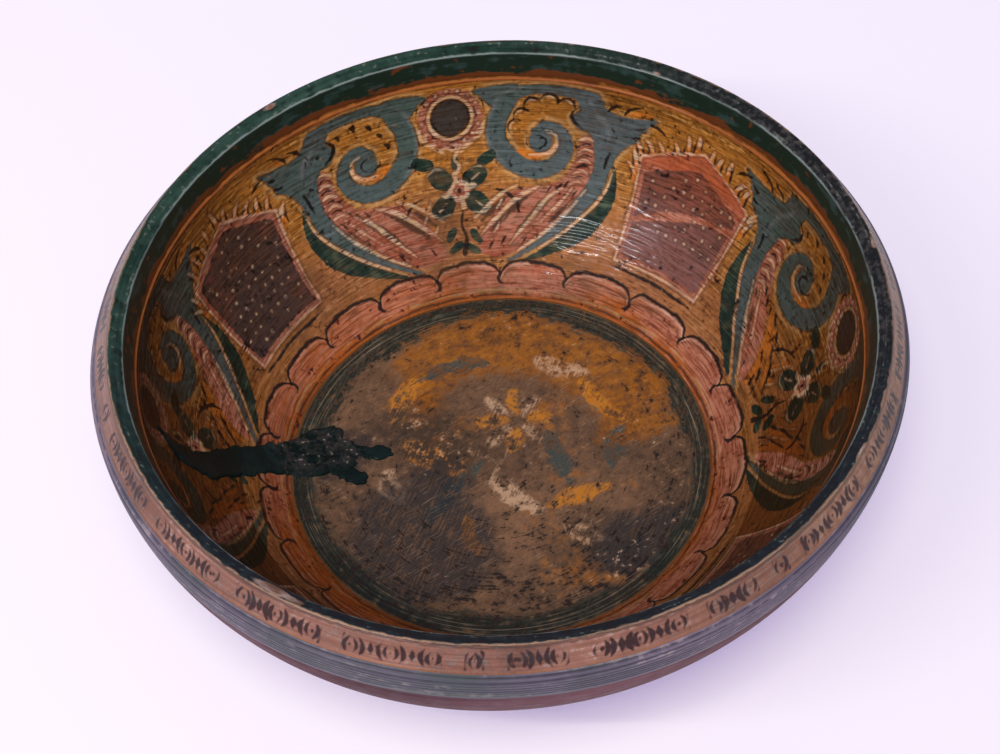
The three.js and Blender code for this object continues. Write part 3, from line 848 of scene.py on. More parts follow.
    ridges = (v * (math.tau / 2.6) + streak * 1.1 + spot * 0.5).math("SINE") * (patch * 0.012 + 0.036)
    ripples = (v * (math.tau / 5.2) + patch * 2.2 + finish.grain(7, 1, 11) * 1.8).math("SINE") * 0.10
    crackle = finish.cracks(5.5).above(0.02, 0.02) * 0.03
    heights = ridges + ripples + crackle + fine * 0.025 + blue.inside(0.4) * 0.05 + lights * 0.09
    heights = heights + spot * 0.05 - pits * 0.08
    return finish.done(0.46 + grime * 0.12 + spot * 0.05 + losses * 0.2, heights)


def rimFinish():
    finish = Finish("rim paint", IOR=1.45, Specular_IOR_Level=0.25, Coat_Weight=0.15, Coat_Roughness=0.16)
    v = finish.layer("down")
    streak, spot, patch = finish.streaks(20, 0.8, 3, 11), finish.grain(2.6, 4, 12), finish.grain(46, 3, 13)
    green = (patch * 0.7 + spot * 0.6 + streak * 0.5).above(0.3, 1.2).blend("rimGreen", "rimGreenLight")
    grey = (finish.grain(1.4, 3, 15) + streak * 0.5).above(0.7, 1.2).blend("rimGrey", "rimGreyLight")
    night = (spot + streak * 0.4).above(0.9, 1.2).blend("rimNight", "rimNightLight")
    finish.colour = (finish.axis(0) + patch * 30).above(50, 70).blend(green, grey)
    finish.coat((finish.axis(1) * -1.0 + patch * 20).above(70, 50), night)
    finish.coat((finish.grain(1.2, 3, 14) + streak * 0.7).above(1.5, 0.4) * 0.6, "rimRubbed")
    finish.coat((spot * -0.8 + streak * -0.5).above(1.0, 0.4) * 0.7, "rimDirt")
    worn = (v + spot * 0.45 + patch * 0.3).near(-21.7, 0.7, 0.5)
    worn = worn * (streak * 0.6 + spot * 0.5).above(-0.8, 0.7)
    finish.coat(worn * 0.85, "rimWood")
    # painted highlight: a thin pale line along the rim's inner edge, where the edge catches the light
    mouth = (v + spot * 0.3).near(-14.0, 0.5, 0.4) * (streak + patch).above(-0.4, 1.0)
    finish.coat(mouth * 0.75, "mouthHighlight")
    inner = lipColours(finish, (streak * 0.5 + spot * 0.4).above(0.0, 0.9).blend("ochreDark", "ochre"), v)
    finish.coat(v.above(-13.6, 0.4), inner)
    chip = (finish.layer("chip") + spot * 0.4).inside(0.3)
    finish.coat(chip * 0.9, spot.above(0, 1.2).blend("chip", "chipLight"))
    heights = streak * 0.02 + spot * 0.03 + finish.cracks(6).above(0.02, 0.02) * 0.03
    return finish.done(0.42 + spot * 0.05 + worn * 0.15 + chip * 0.2, heights)


def bandFinish():
    finish = Finish("band paint", IOR=1.45, Specular_IOR_Level=0.3, Coat_Weight=0.15, Coat_Roughness=0.25)
    v = finish.layer("down")
    streak, spot, patch = finish.streaks(16, 0.6, 3, 21), finish.grain(2.2, 4, 22), finish.grain(42, 3, 23)
    tiny = finish.grain(0.9, 2, 25)
    finish.colour = (streak * 0.6 + patch * 0.5 + spot * 0.3).above(0.0, 1.2).blend("band", "bandLight")
    finish.coat((spot * 0.7 + tiny * 0.5 + streak * 0.4).above(1.0, 0.5) * 0.6, "bandRubbed")
    tan = spot.above(0.3, 1.2).blend("bandTan", "bandTanLight")
    finish.coat((finish.axis(0) + patch * 20).above(120, 50) * 0.7, tan)
    ink = (finish.layer("ink") + spot * 0.25).inside(0.35)
    ink = ink * (patch * 0.5 + spot * 0.6 + tiny * 0.3).above(-1.5, 0.8)
    finish.coat(ink * 0.96, "ink")
    finish.coat((v + spot * 0.3).near(12.2, 0.5, 0.4) * (streak + spot).above(-0.5, 1.0) * 0.85, "bandTop")
    finish.coat((v + spot * 0.3).near(0.6, 0.5, 0.4) * 0.7, "bandBottom")
    dirt = (finish.grain(24, 4, 24) * 0.8 + spot * 0.6 + tiny * 0.3).above(0.8, 0.8)
    finish.coat(dirt * 0.6, "bandDirt")
    heights = streak * 0.02 + spot * 0.02 + ink * 0.05 + finish.cracks(5).above(0.02, 0.02) * 0.03
    return finish.done(0.44 + spot * 0.06, heights)


def lineFinish():
    finish = Finish("blue-grey lines paint", IOR=1.45, Specular_IOR_Level=0.2, Coat_Weight=0.1,
                    Coat_Roughness=0.25)
    streak, spot, patch = finish.streaks(40, 0.5, 3, 31), finish.grain(2.2, 4, 32), finish.grain(60, 3, 33)
    finish.colour = (patch + streak * 0.6).above(0.0, 1.2).blend("lines", "linesLight")
    finish.coat((finish.layer("cut") + spot * 0.1).inside(0.35) * 0.75, "linesCut")
    finish.coat((streak * 0.8 + spot * 0.6).above(0.9, 0.4) * 0.6, "linesRubbed")
    finish.coat((patch * -1.0 + streak * 0.5).above(0.8, 0.6) * 0.5, "linesGreen")
    finish.coat((patch * 0.7 + spot * 0.5).above(1.2, 0.5) * 0.5, "linesBrown")
    heights = streak * 0.03 + spot * 0.02
    return finish.done(0.5 + spot * 0.05, heights)


def bellyFinish():
    finish = Finish("red-brown belly paint", IOR=1.4, Specular_IOR_Level=0.12)
    v = finish.layer("down")
    streak, spot, patch = finish.streaks(50, 0.9, 3, 41), finish.grain(3.2, 4, 42), finish.grain(50, 4, 43)
    finish.colour = (patch + streak * 0.5).above(0.0, 1.2).blend("belly", "bellyLight")
    finish.coat((spot * 0.7 + streak * 0.6).above(1.3, 0.4) * 0.5, "wood")
    rings = (v * (math.tau / 9.0) + streak * 0.4).math("SINE").above(0.95, 0.04) * 0.5
    finish.coat(rings, "bellyRing")
    scuffed = (spot * 0.8 + patch * 0.6).above(1.1, 0.4) * v.above(78, 12)
    finish.coat(scuffed * 0.7, "bellyRubbed")
    heights = streak * 0.03 + spot * 0.025 - rings * 0.1
    return finish.done(0.6 + spot * 0.06, heights)


def footFinish():
    finish = Finish("bare underside", IOR=1.4)
    v = finish.layer("down")
    streak, spot, patch = finish.streaks(30, 0.8, 3, 51), finish.grain(3, 4, 52), finish.grain(45, 4, 53)
    # year rings of a plank cut from a half log: ellipses about a heart off to one side
    x, y = finish.axis(0) + 60, finish.axis(1)
    rings = ((x * x * 0.35 + y * y * 0.02).math("SQRT") * (math.tau / 4.2) + patch * 1.2).math("SINE")
    fibre = finish.strokes(90, 14, 0.35, 2, 54)
    finish.colour = (rings * 0.6 + patch * 0.5 + fibre * 0.4).above(0.0, 1.2).blend("bare", "bareLight")
    finish.coat((spot * 0.8 + fibre * 0.4).above(1.0, 0.5) * 0.5, "bareDirt")
    painted = (v + patch * 1.2 + spot).above(101, 1.0)
    finish.coat(painted, (streak + patch).above(0.0, 1.4).blend("footPaint", "footPaintLight"))
    worn = finish.axis(2).near(0.0, 0.5, 0.4)
    finish.coat(worn * 0.6, "footWorn")
    heights = streak * 0.03 + rings * 0.02 + spot * 0.02 + fibre * 0.03
    return finish.done(0.6 + spot * 0.06, heights)


def floorFinish():
    finish = Finish("worn floor paint", IOR=1.45, Specular_IOR_Level=0.2, Coat_Weight=0.08,
                    Coat_Roughness=0.2)
    ring = finish.layer("ring")
    spot, patch, tiny = finish.grain(2.8, 5, 61), finish.grain(26, 5, 62), finish.grain(1.0, 3, 63)
    turned, fibre = finish.streaks(14, 0.55, 2, 64), finish.strokes(71, 7, 0.5, 3, 66)
    rub = spot * 0.7 + fibre * 0.4 + tiny * 0.4
    finish.colour = (patch * 0.9 + rub * 0.6).above(0.1, 1.4).blend("floorBrown", "floorBrownLight")
    ochre = ((finish.layer("sky") + patch * 7 + spot * 3 + tiny).inside(3.0) * 0.9
             + (finish.grain(22, 4, 65) + spot * 0.4).above(1.3, 0.5) * 0.7)
    brushed = finish.strokes(18, 20, 2.2, 5, 67) + patch * 0.4
    tone = (brushed * 0.5 + spot * 0.6 + tiny * 0.3).above(0.0, 1.4).blend("floorOchre", "floorOchreLight")
    finish.coat(ochre * (rub * 0.7 + brushed * 0.2).above(-0.6, 0.9), tone)

    # rest of a painted spray, rubbed through to the wood
    for key, keep in (("orangeRest", -0.1), ("greenRest", -0.2), ("creamRest", 0.25)):
        mask = (finish.layer(key) + spot * 1.4 + patch * 1.8 + tiny * 0.8).inside(0.8)
        finish.coat(mask * (rub + patch * 0.6).above(keep, 0.6) * 0.9, key)

    scuff = (finish.layer("scuff") + patch * 6.0 + spot * 3).inside(5.0)
    finish.coat(scuff * (rub + fibre * 0.6).above(-0.7, 0.8) * 0.85, "scuff")
    # pits gather near the ring and in the lower part
    where = ring.above(84, 20) * 0.5 + (finish.axis(1) * -1.0).above(10, 60) * 0.75 - 0.66
    pits = (spot * -0.7 + turned * -0.6 + tiny * -0.5 + where).above(0.95, 0.35)
    finish.coat(pits * 0.85, "pit")
    flecks = (tiny * 0.7 + spot * 0.8 + patch * -0.6).above(1.95, 0.35)
    finish.coat(flecks * 0.75, "fleck")

    # scratches both ways
    scratch = finish.strokes(35, 6, 0.35, 2, 68)
    finish.coat((scratch + rub * 0.4).above(1.3, 0.5) * 0.5, "scratch")
    finish.coat((scratch * -1.0 + turned * 0.6).above(1.2, 0.5) * 0.6, "scratchDark")

    # dark ring along the edge with fine pale lines turned in it
    dark = (turned * 0.7 + spot * 0.6).above(0.8, 0.9).blend("edge", "edgeLight")
    lines = (ring * (math.tau / 2.4) + turned * 0.5).math("SINE").above(0.9, 0.1)
    lines = lines * (turned + patch).above(0.2, 0.8)
    dark = (lines * ring.above(96, 1) * 0.6).blend(dark, "edgeLine")
    dark = ((spot * 0.6 + turned * 0.6 + tiny * 0.4).above(1.1, 0.4) * 0.7).blend(dark, "edgeRubbed")
    edge = (ring + patch * 4.6 + spot * 2.4 + turned * 1.8 + tiny * 0.8).above(92.4, 1.4)
    finish.coat(edge * (rub + turned * 0.4).above(-0.8, 0.7) * 0.95, dark)
    finish.coat((ring + spot * 0.3).above(103.2, 0.4) * 0.8, "ochreDark")
    heights = spot * 0.04 + tiny * 0.03 + fibre * 0.03 + lines * 0.04 - pits * 0.10 + flecks * 0.05
    return finish.done(0.48 + spot * 0.06 + flecks * 0.1, heights)


def pitchFinish():
    finish = Finish("old pitch", IOR=1.45, Specular_IOR_Level=0.10, Coat_Weight=0.12, Coat_Roughness=0.10)
    spot, patch, fleck = finish.grain(3.5, 4, 71), finish.grain(16, 3, 72), finish.grain(1.0, 3, 73)
    finish.colour = (patch + spot * 0.5).above(0.6, 1.2).blend("pitch", "pitchLight")
    rough = (finish.layer("rough") + spot * 3.0).inside(3.0)
    finish.coat(rough * (spot + fleck * 0.7).above(0.2, 0.9), "pitchDust")
    # painted glints: pale flecks on the rough lumps where they catch the light
    finish.coat(rough * (fleck + spot * 0.5).above(1.4, 0.25), "pitchGlint")
    heights = spot * 0.12 + fleck * 0.05 + rough * spot * 0.08
    return finish.done(0.42 + spot * 0.06 + rough * 0.15, heights)


# Pieces of the bowl

ripples = dict(radius=165.0, period=3.4, height=0.074, waves=0.34, waveSize=9.0, cross=0.055, around=150,
               crossPeriod=5.3, seed=31, ends=(1, 115.5), fade=6)


def rippled():
    # ridges left by the turning tool: sine of the way down the wall, its phase and its height
    # stirred by smooth noise, crossed by slanting brush marks in the varnish, over long low waves
    s, size, r = ripples["seed"], ripples["waveSize"], ripples
    x, y = np.meshgrid(np.radians(np.arange(wall["columns"]) * columnTurn) * r["radius"], down)
    x = x / x.max() * size * lattice  # so that the noise closes round the bowl
    phase = 1.6 * mottle(x, y, size, s) + 0.9 * mottle(x, y * 2, size, s + 1)
    height = r["height"] * (0.8 + 0.5 * mottle(x, y, size, s + 2))
    slant = math.tau * (r["around"] * x / x.max() + y / r["crossPeriod"]) + 1.5 * mottle(x, y, size, s + 4)
    cross = r["cross"] * np.clip(0.4 + mottle(x, y, size * 2, s + 5), 0, 1) * np.sin(slant)
    waves = r["waves"] * mottle(x, y, size, s + 3)
    return height * np.sin(math.tau * y / r["period"] + phase) + cross + waves


def wallPieces():
    # four rings of the inside wall, from the lip to the floor, out of one painted grid
    layers = paintWall()
    start, end = ripples["ends"]
    ridges = rippled() * np.clip(np.minimum(down - start, end - down) / ripples["fade"], 0, 1)[:, None]
    parts = (("wall_top", 0, 50, False), ("wall_middle", 50, 100, False), ("wall_low", 100, 146, False),
             ("wall_border", 146, 192, True))
    made = []
    for name, first, last, lobed in parts:
        rows = slice(first, last + 1)
        own = {key: grid[rows] for key, grid in layers.items() if lobed or key != "lobe"}
        own["down"] = down[rows, None]
        made.append(turnedShell(name, wallLine[rows], 5.0, wall["columns"], 6,
                                wallFinish(name.replace("_", " ") + " paint", lobed), own, ridges[rows]))
    return made


rimWear = dict(
    radius=177.0, columns=1440, step=0.7, dent=0.35,
    # chips as azimuth, place along the profile, length and width
    chips=((238.5, -18.5, 12.0, 2.6), (131.0, -19.6, 3.0, 1.0), (12.0, -20.5, 3.0, 1.0),
           (332.0, -21.0, 4.0, 1.0), (64.0, -15.0, 2.0, 0.8)),
)


def rimPiece():
    line, along = evenly(rimCurve(), rimWear["step"])
    v = along - along[-1]
    columns = rimWear["columns"]
    az = np.arange(columns) * 360.0 / columns
    # chips: distance from the middle of each, stretched along the rim
    chip = np.full((len(v), columns), far)
    for turn, at, long, wide in rimWear["chips"]:
        x = np.radians((az - turn + 180) % 360 - 180)[None] * rimWear["radius"]
        gap = np.hypot(x / long, (v[:, None] - at) / wide)
        chip = np.minimum(chip, (gap - 1) * wide)
    dents = -rimWear["dent"] * np.clip(-chip, 0, 1)
    return turnedShell("rim", line, 4.0, columns, 6, rimFinish(), {"down": v[:, None], "chip": chip}, dents)


bandOrnament = dict(
    cells=66, columns=1980, step=0.55, start=0.08, radius=183.5, middle=6.5, lozenge=(1.8, 3.4), dot=0.8,
    # leaves as place, bow, width and half height
    leafHalf=1.2, leaves=((3.4, 1.4, 1.0, 3.9), (6.0, 1.2, 0.8, 3.0)), gaps=(3, 7), gapHalf=0.27,
    # how far luck moves, raises, widens, leans and thickens a cell
    seed=5, shift=0.5, lift=0.45, swell=0.08, lean=0.16, thicken=0.25,
)


def bandPiece():
    # running ornament of leaves bent away from a lozenge, with dots between, each cell leant,
    # shifted and thickened by a little luck as a hand does
    b, columns, cells = bandOrnament, bandOrnament["columns"], bandOrnament["cells"]
    top = np.array(bowl["rim"]) + (bandFoot() - bowl["rim"]) * b["start"]
    line, along = evenly(np.array([bandFoot(), top]), b["step"])
    v = along[::-1]
    az = np.arange(columns) / columns * cells
    width = math.tau * b["radius"] / cells
    luck = np.random.default_rng(b["seed"]).uniform(-1, 1, (5, cells))[:, np.floor(az).astype(int)]
    x, y = np.broadcast_arrays(((az % 1) - 0.5)[None] * width,
                               v[:, None] - b["middle"] + b["lift"] * luck[1])
    x = x * (1 + b["swell"] * luck[2]) + y * b["lean"] * luck[3] + b["shift"] * luck[0]
    q = np.stack([x, y], -1)
    ink = (abs(x) / b["lozenge"][0] + abs(y) / b["lozenge"][1] - 1) * 1.6
    for side in (-1, 1):
        for at, bow, wide, h in b["leaves"]:
            bend = smoothLine([(side * (at + bow), -h, 0.3), (side * at, -h * 0.3, b["leafHalf"] * wide),
                               (side * at, h * 0.35, b["leafHalf"] * wide), (side * (at + bow), h, 0.3)])
            ink = np.minimum(ink, lineDistance(q, bend[:, :2], bend[:, 2]))
    ink = np.minimum(ink, np.hypot(abs(x) - width * 0.5, y) - b["dot"])
    ink = ink - b["thicken"] * luck[4]
    # bare middle in every so many cells, which parts the ornament into runs
    for every in b["gaps"]:
        ink = np.maximum(ink, (b["gapHalf"] - abs((az + every // 2) % every - every / 2)[None]) * width)
    return turnedShell("ornament_band", line, 4.0, columns, 10, bandFinish(),
                       {"down": v[:, None], "ink": ink})


turnedLines = dict(count=7, first=1.1, spacing=2.05, half=0.42, depth=0.5, cutHalf=0.3, low=98.6,
                   columns=720, step=0.24, bellyStep=1.7)


def outsideParts():
    line = outsideCurve()
    heights = line[::-1, 1]
    radii = line[::-1, 0]
    t = turnedLines
    # ring with the turned lines, each a rounded groove
    z = np.arange(t["low"], bandFoot()[1], t["step"])
    z = np.append(z, bandFoot()[1])
    r = np.interp(z, heights, radii)
    places = bandFoot()[1] - t["first"] - t["spacing"] * np.arange(t["count"])
    gap = abs(z[:, None] - places)
    r = r - t["depth"] * np.exp(-((gap / t["half"]) ** 2)).sum(1)
    cut = gap.min(1) - t["cutHalf"]
    layers = {"down": z[-1] - z[:, None], "cut": cut[:, None]}
    grooves = turnedShell("turned_lines", np.column_stack([r, z]), 4.0, t["columns"], 9, lineFinish(), layers)

    # belly down to the turn above the foot
    under = line[line[:, 1] < t["low"]][::-1]
    under = np.vstack([under, [[np.interp(t["low"], heights, radii), t["low"]]]])
    under, along = evenly(under, t["bellyStep"])
    belly = turnedShell("belly", under, 4.0, t["columns"], 3, bellyFinish(),
                        {"down": along[-1] - along[:, None]}, backs=12)
    return [grooves, belly]


foot = dict(radius=97.0, ringWidth=11.0, height=5.0, flare=1.5, recess=3.5, columns=360, step=1.4,
            backTurn=(-4, 5), back=((60, 12), (0, 12)))


def footPiece():
    # underside from its middle out over the foot ring to the belly, closed inside the wood
    inner, e = foot["radius"] - foot["ringWidth"], bowl["edgeRound"]
    turn = outsideCurve()[-1]
    corners = [(0, foot["recess"]), (inner - 2 * e, foot["recess"]), (inner - e, foot["recess"] - e),
               (inner, 0), (foot["radius"] + foot["flare"] - e, 0), (foot["radius"] + foot["flare"], e),
               (foot["radius"], foot["height"]), turn]
    line, along = evenly(np.array(corners, float), foot["step"])
    back = np.array([turn + foot["backTurn"], *foot["back"]], float)
    profile = np.vstack([line[1:], back[:-1]])
    columns = foot["columns"]
    az = math.tau * np.arange(columns) / columns
    x, y = ovalled(profile[:, :1], az)
    points = np.stack([x, y, np.repeat(profile[:, 1:], columns, axis=1)], -1).reshape(-1, 3)
    points = np.vstack([points, [(0, 0, line[0, 1]), (0, 0, back[-1, 1])]])
    n = len(profile)
    quads = gridCells(n, columns)
    j = np.arange(columns)
    beside = (j + 1) % columns
    start = np.stack([np.full(columns, n * columns), beside, j], -1)
    end = np.stack([np.full(columns, n * columns + 1), (n - 1) * columns + j, (n - 1) * columns + beside], -1)
    smooth = np.concatenate([np.repeat(np.arange(n - 1) < len(line) - 2, columns), np.ones(columns, bool),
                             np.zeros(columns, bool)])
    v = np.concatenate([along[1:], np.full(len(back) - 1, along[-1])])
    layers = {"down": np.append(np.repeat(v, columns), [0, along[-1]])}
    return addPiece("foot", points, [quads, start, end], smooth, footFinish(), layers)


floorSpray = dict(
    cells=256, depth=4.0, back=6.0, edgeLines=(3.2, 6.4), lineDepth=0.35, lineHalf=0.4,
    # generic worn spray round a flower head: leaves as x, y, half length, half width and turn
    head=(6, 26), petals=8, petalRing=12, petalLength=17.0, petalWidth=8.0, waver=1.8, waverSize=8,
    orange=((-34, 4, 18, 6, 150), (-48, 40, 16, 6, 60), (50, 38, 17, 6, 130), (38, -22, 18, 6, 20),
            (-14, -42, 14, 5, 100)),
    green=((-24, -20, 24, 5, 55), (30, 2, 20, 5, 110), (-26, 58, 20, 5, 20), (58, 8, 14, 5, 80)),
    cream=((-52, -14, 12, 6, 110), (8, -20, 17, 7, 140), (44, -46, 16, 5, 150), (30, 60, 15, 6, 160)),
    stems=(((6, 26), (2, 4), (-8, -18), (-6, -44)), ((-2, 0), (-18, 6), (-36, 4), (-48, 12)),
           ((-6, -16), (12, -30), (34, -30), (46, -42)), ((14, 30), (34, 36), (46, 52), (40, 68))),
    stemHalf=0.5, scuffs=((-36, -46, 40), (-78, 6, 16), (66, -48, 18)),
    sky=(73.0, 19.0, 74.0, 62.0),  # ochre crescent: middle radius, half width, azimuth, half spread
)


def petal(q, x, y, long, wide, turn):
    # distance to a leaf: half its width, tapered to both ends by the square root of 1 - s^2
    a = math.radians(turn)
    u = (q[..., 0] - x) * math.cos(a) + (q[..., 1] - y) * math.sin(a)
    w = -(q[..., 0] - x) * math.sin(a) + (q[..., 1] - y) * math.cos(a)
    bent = w - 0.35 * wide * np.cos(u / long * 1.5)
    return np.maximum(abs(bent) - wide * np.sqrt(np.clip(1 - (u / long) ** 2, 0, 1)), abs(u) - long)


def floorPiece():
    # disc: a square grid drawn on to the circle, ring by ring, so that its faces stay nearly square
    f = floorSpray
    n = f["cells"]
    a, b = np.meshgrid(np.linspace(-1, 1, n + 1), np.linspace(-1, 1, n + 1))
    wide = abs(a) > abs(b)
    share = np.where(wide, a, b)
    with np.errstate(divide="ignore", invalid="ignore"):
        turn = np.where(wide, math.pi / 4 * b / a, math.pi / 2 - math.pi / 4 * a / b)
    turn = np.nan_to_num(turn)
    edgeR, edgeZ = bowl["floorEdge"]
    flatX, flatY = share * edgeR * np.cos(turn), share * edgeR * np.sin(turn)
    ring, az = np.hypot(flatX, flatY), np.degrees(np.arctan2(flatY, flatX))
    x, y = ovalled(ring, np.radians(az))
    curve = floorCurve(np.linspace(0, 1, 400))[::-1]
    z = np.interp(ring, curve[:, 0], curve[:, 1])
    for line in f["edgeLines"]:
        z -= f["lineDepth"] * np.exp(-(((ring - edgeR + line) / f["lineHalf"]) ** 2))
    top = np.stack([x, y, z], -1).reshape(-1, 3)
    quads = gridCells(n + 1, n + 1, closed=False)
    # rim of the grid, anticlockwise, then the side and the flat back
    k = np.arange(n)
    border = np.concatenate([k, k * (n + 1) + n, n * (n + 1) + n - k, (n - k) * (n + 1)])
    m, count = len(border), len(top)
    low = top[border] - (0, 0, f["depth"])
    points = np.vstack([top, low, [(0, 0, edgeZ - f["back"])]])
    after = np.roll(border, -1)
    s = np.arange(m)
    side = np.stack([border, count + s, count + (s + 1) % m, after], -1)
    back = np.stack([np.full(m, count + m), count + (s + 1) % m, count + s], -1)
    smooth = np.concatenate([np.ones(len(quads), bool), np.zeros(2 * m, bool)])

    q = np.stack([flatX, flatY], -1)
    q = q + f["waver"] * np.stack([mottle(flatX, flatY, f["waverSize"], seed) for seed in (4, 5)], -1)
    hx, hy = f["head"]
    spokes = [(hx + f["petalRing"] * math.cos(t), hy + f["petalRing"] * math.sin(t),
               f["petalLength"] * 0.5, f["petalWidth"] * 0.5, math.degrees(t))
              for t in np.arange(f["petals"]) * 2 * math.pi / f["petals"]]
    stems = [smoothLine(stem) for stem in f["stems"]]
    radius, half, middle, spread = f["sky"]
    turned = abs((az - middle + 180) % 360 - 180) - spread
    rest = {
        "orangeRest": np.min([petal(q, *p) for p in list(f["orange"]) + spokes[::2]], axis=0),
        "greenRest": np.min([petal(q, *p) for p in f["green"]], axis=0),
        "creamRest": np.min([petal(q, *p) for p in list(f["cream"]) + spokes[1::2]]
                            + [lineDistance(q, stem, np.full(len(stem), f["stemHalf"])) for stem in stems],
                            axis=0),
        "scuff": np.min([np.hypot(q[..., 0] - sx, q[..., 1] - sy) - r for sx, sy, r in f["scuffs"]], axis=0),
        "sky": np.maximum(abs(ring - radius) - half, np.radians(turned) * radius),
        "ring": ring, "down": ring,
    }
    layers = {key: np.concatenate([np.ravel(np.clip(values, -99, 130)), np.full(m + 1, edgeR)])
              for key, values in rest.items()}

    flat = np.stack([flatX, flatY], -1).reshape(-1, 2) / edgeR
    spots = np.vstack([flat, flat[border] * 0.8, [(0, 0)]]) * 0.49 + 0.5
    places = np.concatenate([spots[quads].reshape(-1, 2), spots[side].reshape(-1, 2) * 0.1,
                             spots[back].reshape(-1, 2) * 0.1 + (0.9, 0)])
    return addPiece("floor_disc", points, [quads, side, back], smooth, floorFinish(), layers,
                    places)


pitch = dict(
    # middle line of each run as mm in from the lip and mm to the side, with its half widths
    runs=(
        ((11, -31, 2.5), (24, -30, 6), (34, -21.5, 6.5), (46, -9, 7), (59.5, -0.5, 9), (74, 3.8, 12),
         (86, 4.5, 10.5)),
        ((66, 7, 6), (75, 12, 8), (84, 17, 5.5)),
        ((84, 7.5, 5.5), (94, 7, 3.6), (104, 6.5, 4.2), (110.5, 6, 3.8)),
        ((84, -1.5, 5.5), (90, -4.5, 4.2), (96, -8, 3.6), (100.5, -10, 3.2)),
    ),
    rough=((70, 9, 17), (88, 8, 12)),
    spacing=0.62, first=4.0, last=172.0, azimuths=(163.0, 204.0), proud=1.0, sunk=1.2, lumps=0.6,
    ramp=2.4, kept=2.6, back=3.0,
)


def pitchPiece():
    # sheet over the cracked side that rises out of the paint inside the runs and stays under it
    # outside them: its height is the proud level times a rounded step of the distance to the runs
    floorLine = evenly(floorCurve(np.linspace(0, 1, 800)), 0.3)[0]
    line = np.vstack([wallLine, floorLine[1:]])
    line, s = evenly(line, 0.3)
    keep = (s >= pitch["first"]) & (s <= pitch["last"])
    count = int((pitch["last"] - pitch["first"]) / pitch["spacing"]) + 1
    way = np.linspace(s[keep][0], s[keep][-1], count)
    r, z = np.interp(way, s, line[:, 0]), np.interp(way, s, line[:, 1])
    out = ahead(np.column_stack([r, z]))
    a0, a1 = np.radians(pitch["azimuths"])
    columns = int((a1 - a0) * bowl["lip"][0] / pitch["spacing"]) + 1
    az = np.linspace(a0, a1, columns)
    flat = np.stack([r[:, None] * np.cos(az), r[:, None] * np.sin(az)], -1)
    x, y = flat[..., 0], flat[..., 1]
    ragged = flat + np.stack([1.6 * mottle(x, y, 5.5, 8 + k) + 0.9 * mottle(x, y, 1.7, 18 + k)
                              for k in (0, 1)], -1)
    gap = np.full(flat.shape[:2], 30.0)
    for run in pitch["runs"]:
        path = smoothLine([(inwards - bowl["lip"][0], aside, half) for inwards, aside, half in run])
        gap = np.minimum(gap, lineDistance(ragged, path[:, :2], path[:, 2]))
    rough = np.min([np.hypot(flat[..., 0] - inwards + bowl["lip"][0], flat[..., 1] - aside) - reach
                    for inwards, aside, reach in pitch["rough"]], axis=0)
    t = np.clip(0.5 - gap / pitch["ramp"], 0, 1)
    step = t * t * (3 - 2 * t)
    lumps = pitch["lumps"] * (mottle(x, y, 4.5, 12) + 0.5 * mottle(x, y, 2.2, 13))
    rise = -pitch["sunk"] + step * (pitch["sunk"] + pitch["proud"]) + lumps * step * (rough < 4)
    rise = np.clip(rise, -pitch["sunk"], pitch["proud"] * 2)
    inward = np.column_stack([out[:, 1], -out[:, 0]])
    tops = []
    for height in (rise, np.full(rise.shape, -pitch["back"])):
        x, y = ovalled(r[:, None] + inward[:, :1] * height, az)
        tops.append(np.stack([x, y, z[:, None] + inward[:, 1:] * height], -1).reshape(-1, 3))
    quads = gridCells(count, columns, closed=False)
    # only the cells near the runs are kept, front and back, with a side along their border
    near = gap.reshape(-1)[quads].min(1) < pitch["kept"]
    quads = quads[near]
    edges = np.concatenate([quads[:, [k, (k + 1) % 4]] for k in range(4)])
    total = count * columns
    codes = edges[:, 0] * total + edges[:, 1]
    lone = ~np.isin(codes, edges[:, 1] * total + edges[:, 0])
    edges = edges[lone]
    used = np.zeros(2 * total, bool)
    used[quads] = True
    used[quads + total] = True
    number = np.cumsum(used) - 1
    sides = np.column_stack([edges[:, ::-1], edges + total])
    faces = number[np.concatenate([quads, quads[:, ::-1] + total, sides])]
    points = np.vstack(tops)[used]
    smooth = np.arange(len(faces)) < len(quads)
    layers = {"rough": np.tile(rough.ravel(), 2)[used]}
    return addPiece("pitch", points, [faces], smooth, pitchFinish(), layers)


# Studio

studio = dict(
    camera=(-0.00068, -0.73205, 0.92066), look=(0.0, 0.65606, -0.75471), roll=-0.195, lens=85.96,
    # name, strength, degrees across, direction and tint; left out of the reflections
    lamps=(("front lamp", 2.46, 28, (-0.06, -0.61, 1.00), (1.0, 1.01, 0.955)),),
    # lamps that show in the varnish, the first as broken streaks: name, power, size, place and tint
    shown=(("strip lamp", 7.8, (1.15, 0.036), (-0.93, -0.86, 1.30), (1.0, 1.0, 1.0)),
           ("window lamp", 3.1, (1.20, 0.42), (-1.10, -0.90, 1.34), (0.86, 0.84, 1.0))),
    shownToward=(0, -0.66, 1.0),
    ambient=0.212, ambientTint=(0.95, 0.87, 1.36), floorColour=(0.99, 0.95, 1.0), floorSize=8.0,
    # what the camera sees of the table, and its lilac cast, which lights nothing
    floorSeen=(0.76, 0.74, 0.60), floorCast=(0.19, 0.14, 0.38),
)


def addLamp(name, light, toward):
    lamp = bpy.data.objects.new(name, light)
    lamp.rotation_mode = "QUATERNION"
    lamp.rotation_quaternion = Vector(toward).to_track_quat("Z", "Y")
    scene.collection.objects.link(lamp)
    return lamp


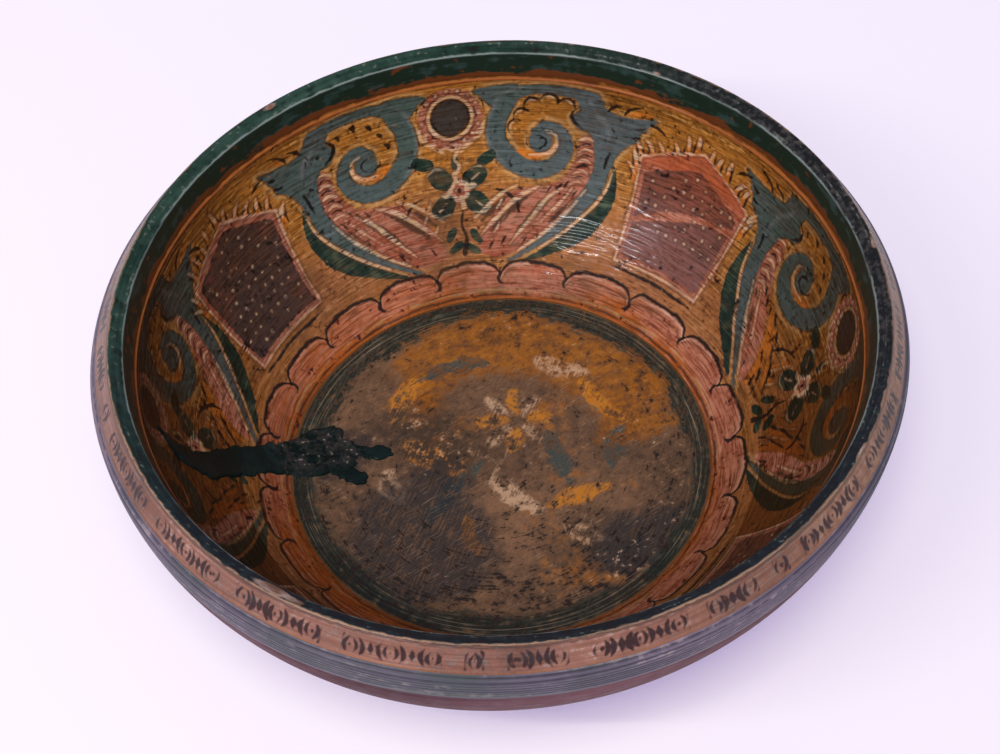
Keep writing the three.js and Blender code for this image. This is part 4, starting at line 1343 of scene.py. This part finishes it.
def setStudio():
    lens = bpy.data.cameras.new("camera")
    lens.lens, lens.sensor_width = studio["lens"], 36.0
    camera = bpy.data.objects.new("camera", lens)
    camera.location = studio["camera"]
    look = Vector(studio["look"])
    camera.rotation_mode = "QUATERNION"
    camera.rotation_quaternion = look.to_track_quat("-Z", "Y") @ Quaternion(
        (0, 0, 1), math.radians(studio["roll"]))
    scene.collection.objects.link(camera)
    scene.camera = camera
    for name, strength, spread, toward, tint in studio["lamps"]:
        light = bpy.data.lights.new(name, "SUN")
        light.energy, light.angle, light.color = strength, math.radians(spread), tint
        addLamp(name, light, toward).visible_glossy = False
    for name, power, size, place, tint in studio["shown"]:
        light = bpy.data.lights.new(name, "AREA")
        light.energy, light.shape, light.color = power, "RECTANGLE", tint
        light.size, light.size_y = size
        addLamp(name, light, studio["shownToward"]).location = place
    world = bpy.data.worlds.new("studio")
    scene.world = world
    world.use_nodes = True
    background = world.node_tree.nodes["Background"]
    background.inputs["Color"].default_value = (*studio["ambientTint"], 1.0)
    background.inputs["Strength"].default_value = studio["ambient"]

    half = studio["floorSize"] / 2
    mesh = bpy.data.meshes.new("table")
    corners = [(-half, -half, 0), (half, -half, 0), (half, half, 0), (-half, half, 0)]
    mesh.from_pydata(corners, [], [(0, 1, 2, 3)])
    finish = Finish("pale table")
    seen = Value(finish.tree.nodes.new("ShaderNodeLightPath").outputs["Is Camera Ray"])
    for key, off, on in (("Base Color", "floorColour", "floorSeen"), ("Emission Color", None, "floorCast")):
        colour = seen.blend(studio[off] if off else (0, 0, 0), studio[on])
        finish.tree.links.new(colour.socket, finish.surface.inputs[key])
    finish.surface.inputs["Emission Strength"].default_value = 1.0
    finish.surface.inputs["Roughness"].default_value = 0.9
    mesh.materials.append(finish.material)
    table = bpy.data.objects.new("table", mesh)
    scene.collection.objects.link(table)
    scene.view_settings.view_transform = "Standard"


setStudio()
print("studio set")
pieces = wallPieces()
pieces += [rimPiece(), bandPiece(), *outsideParts(), footPiece(), floorPiece()]
for piece in pieces:
    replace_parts(piece, "bowl")
print("bowl painted")
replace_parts(pitchPiece(), "pitch_fill")
print("pitch filled")
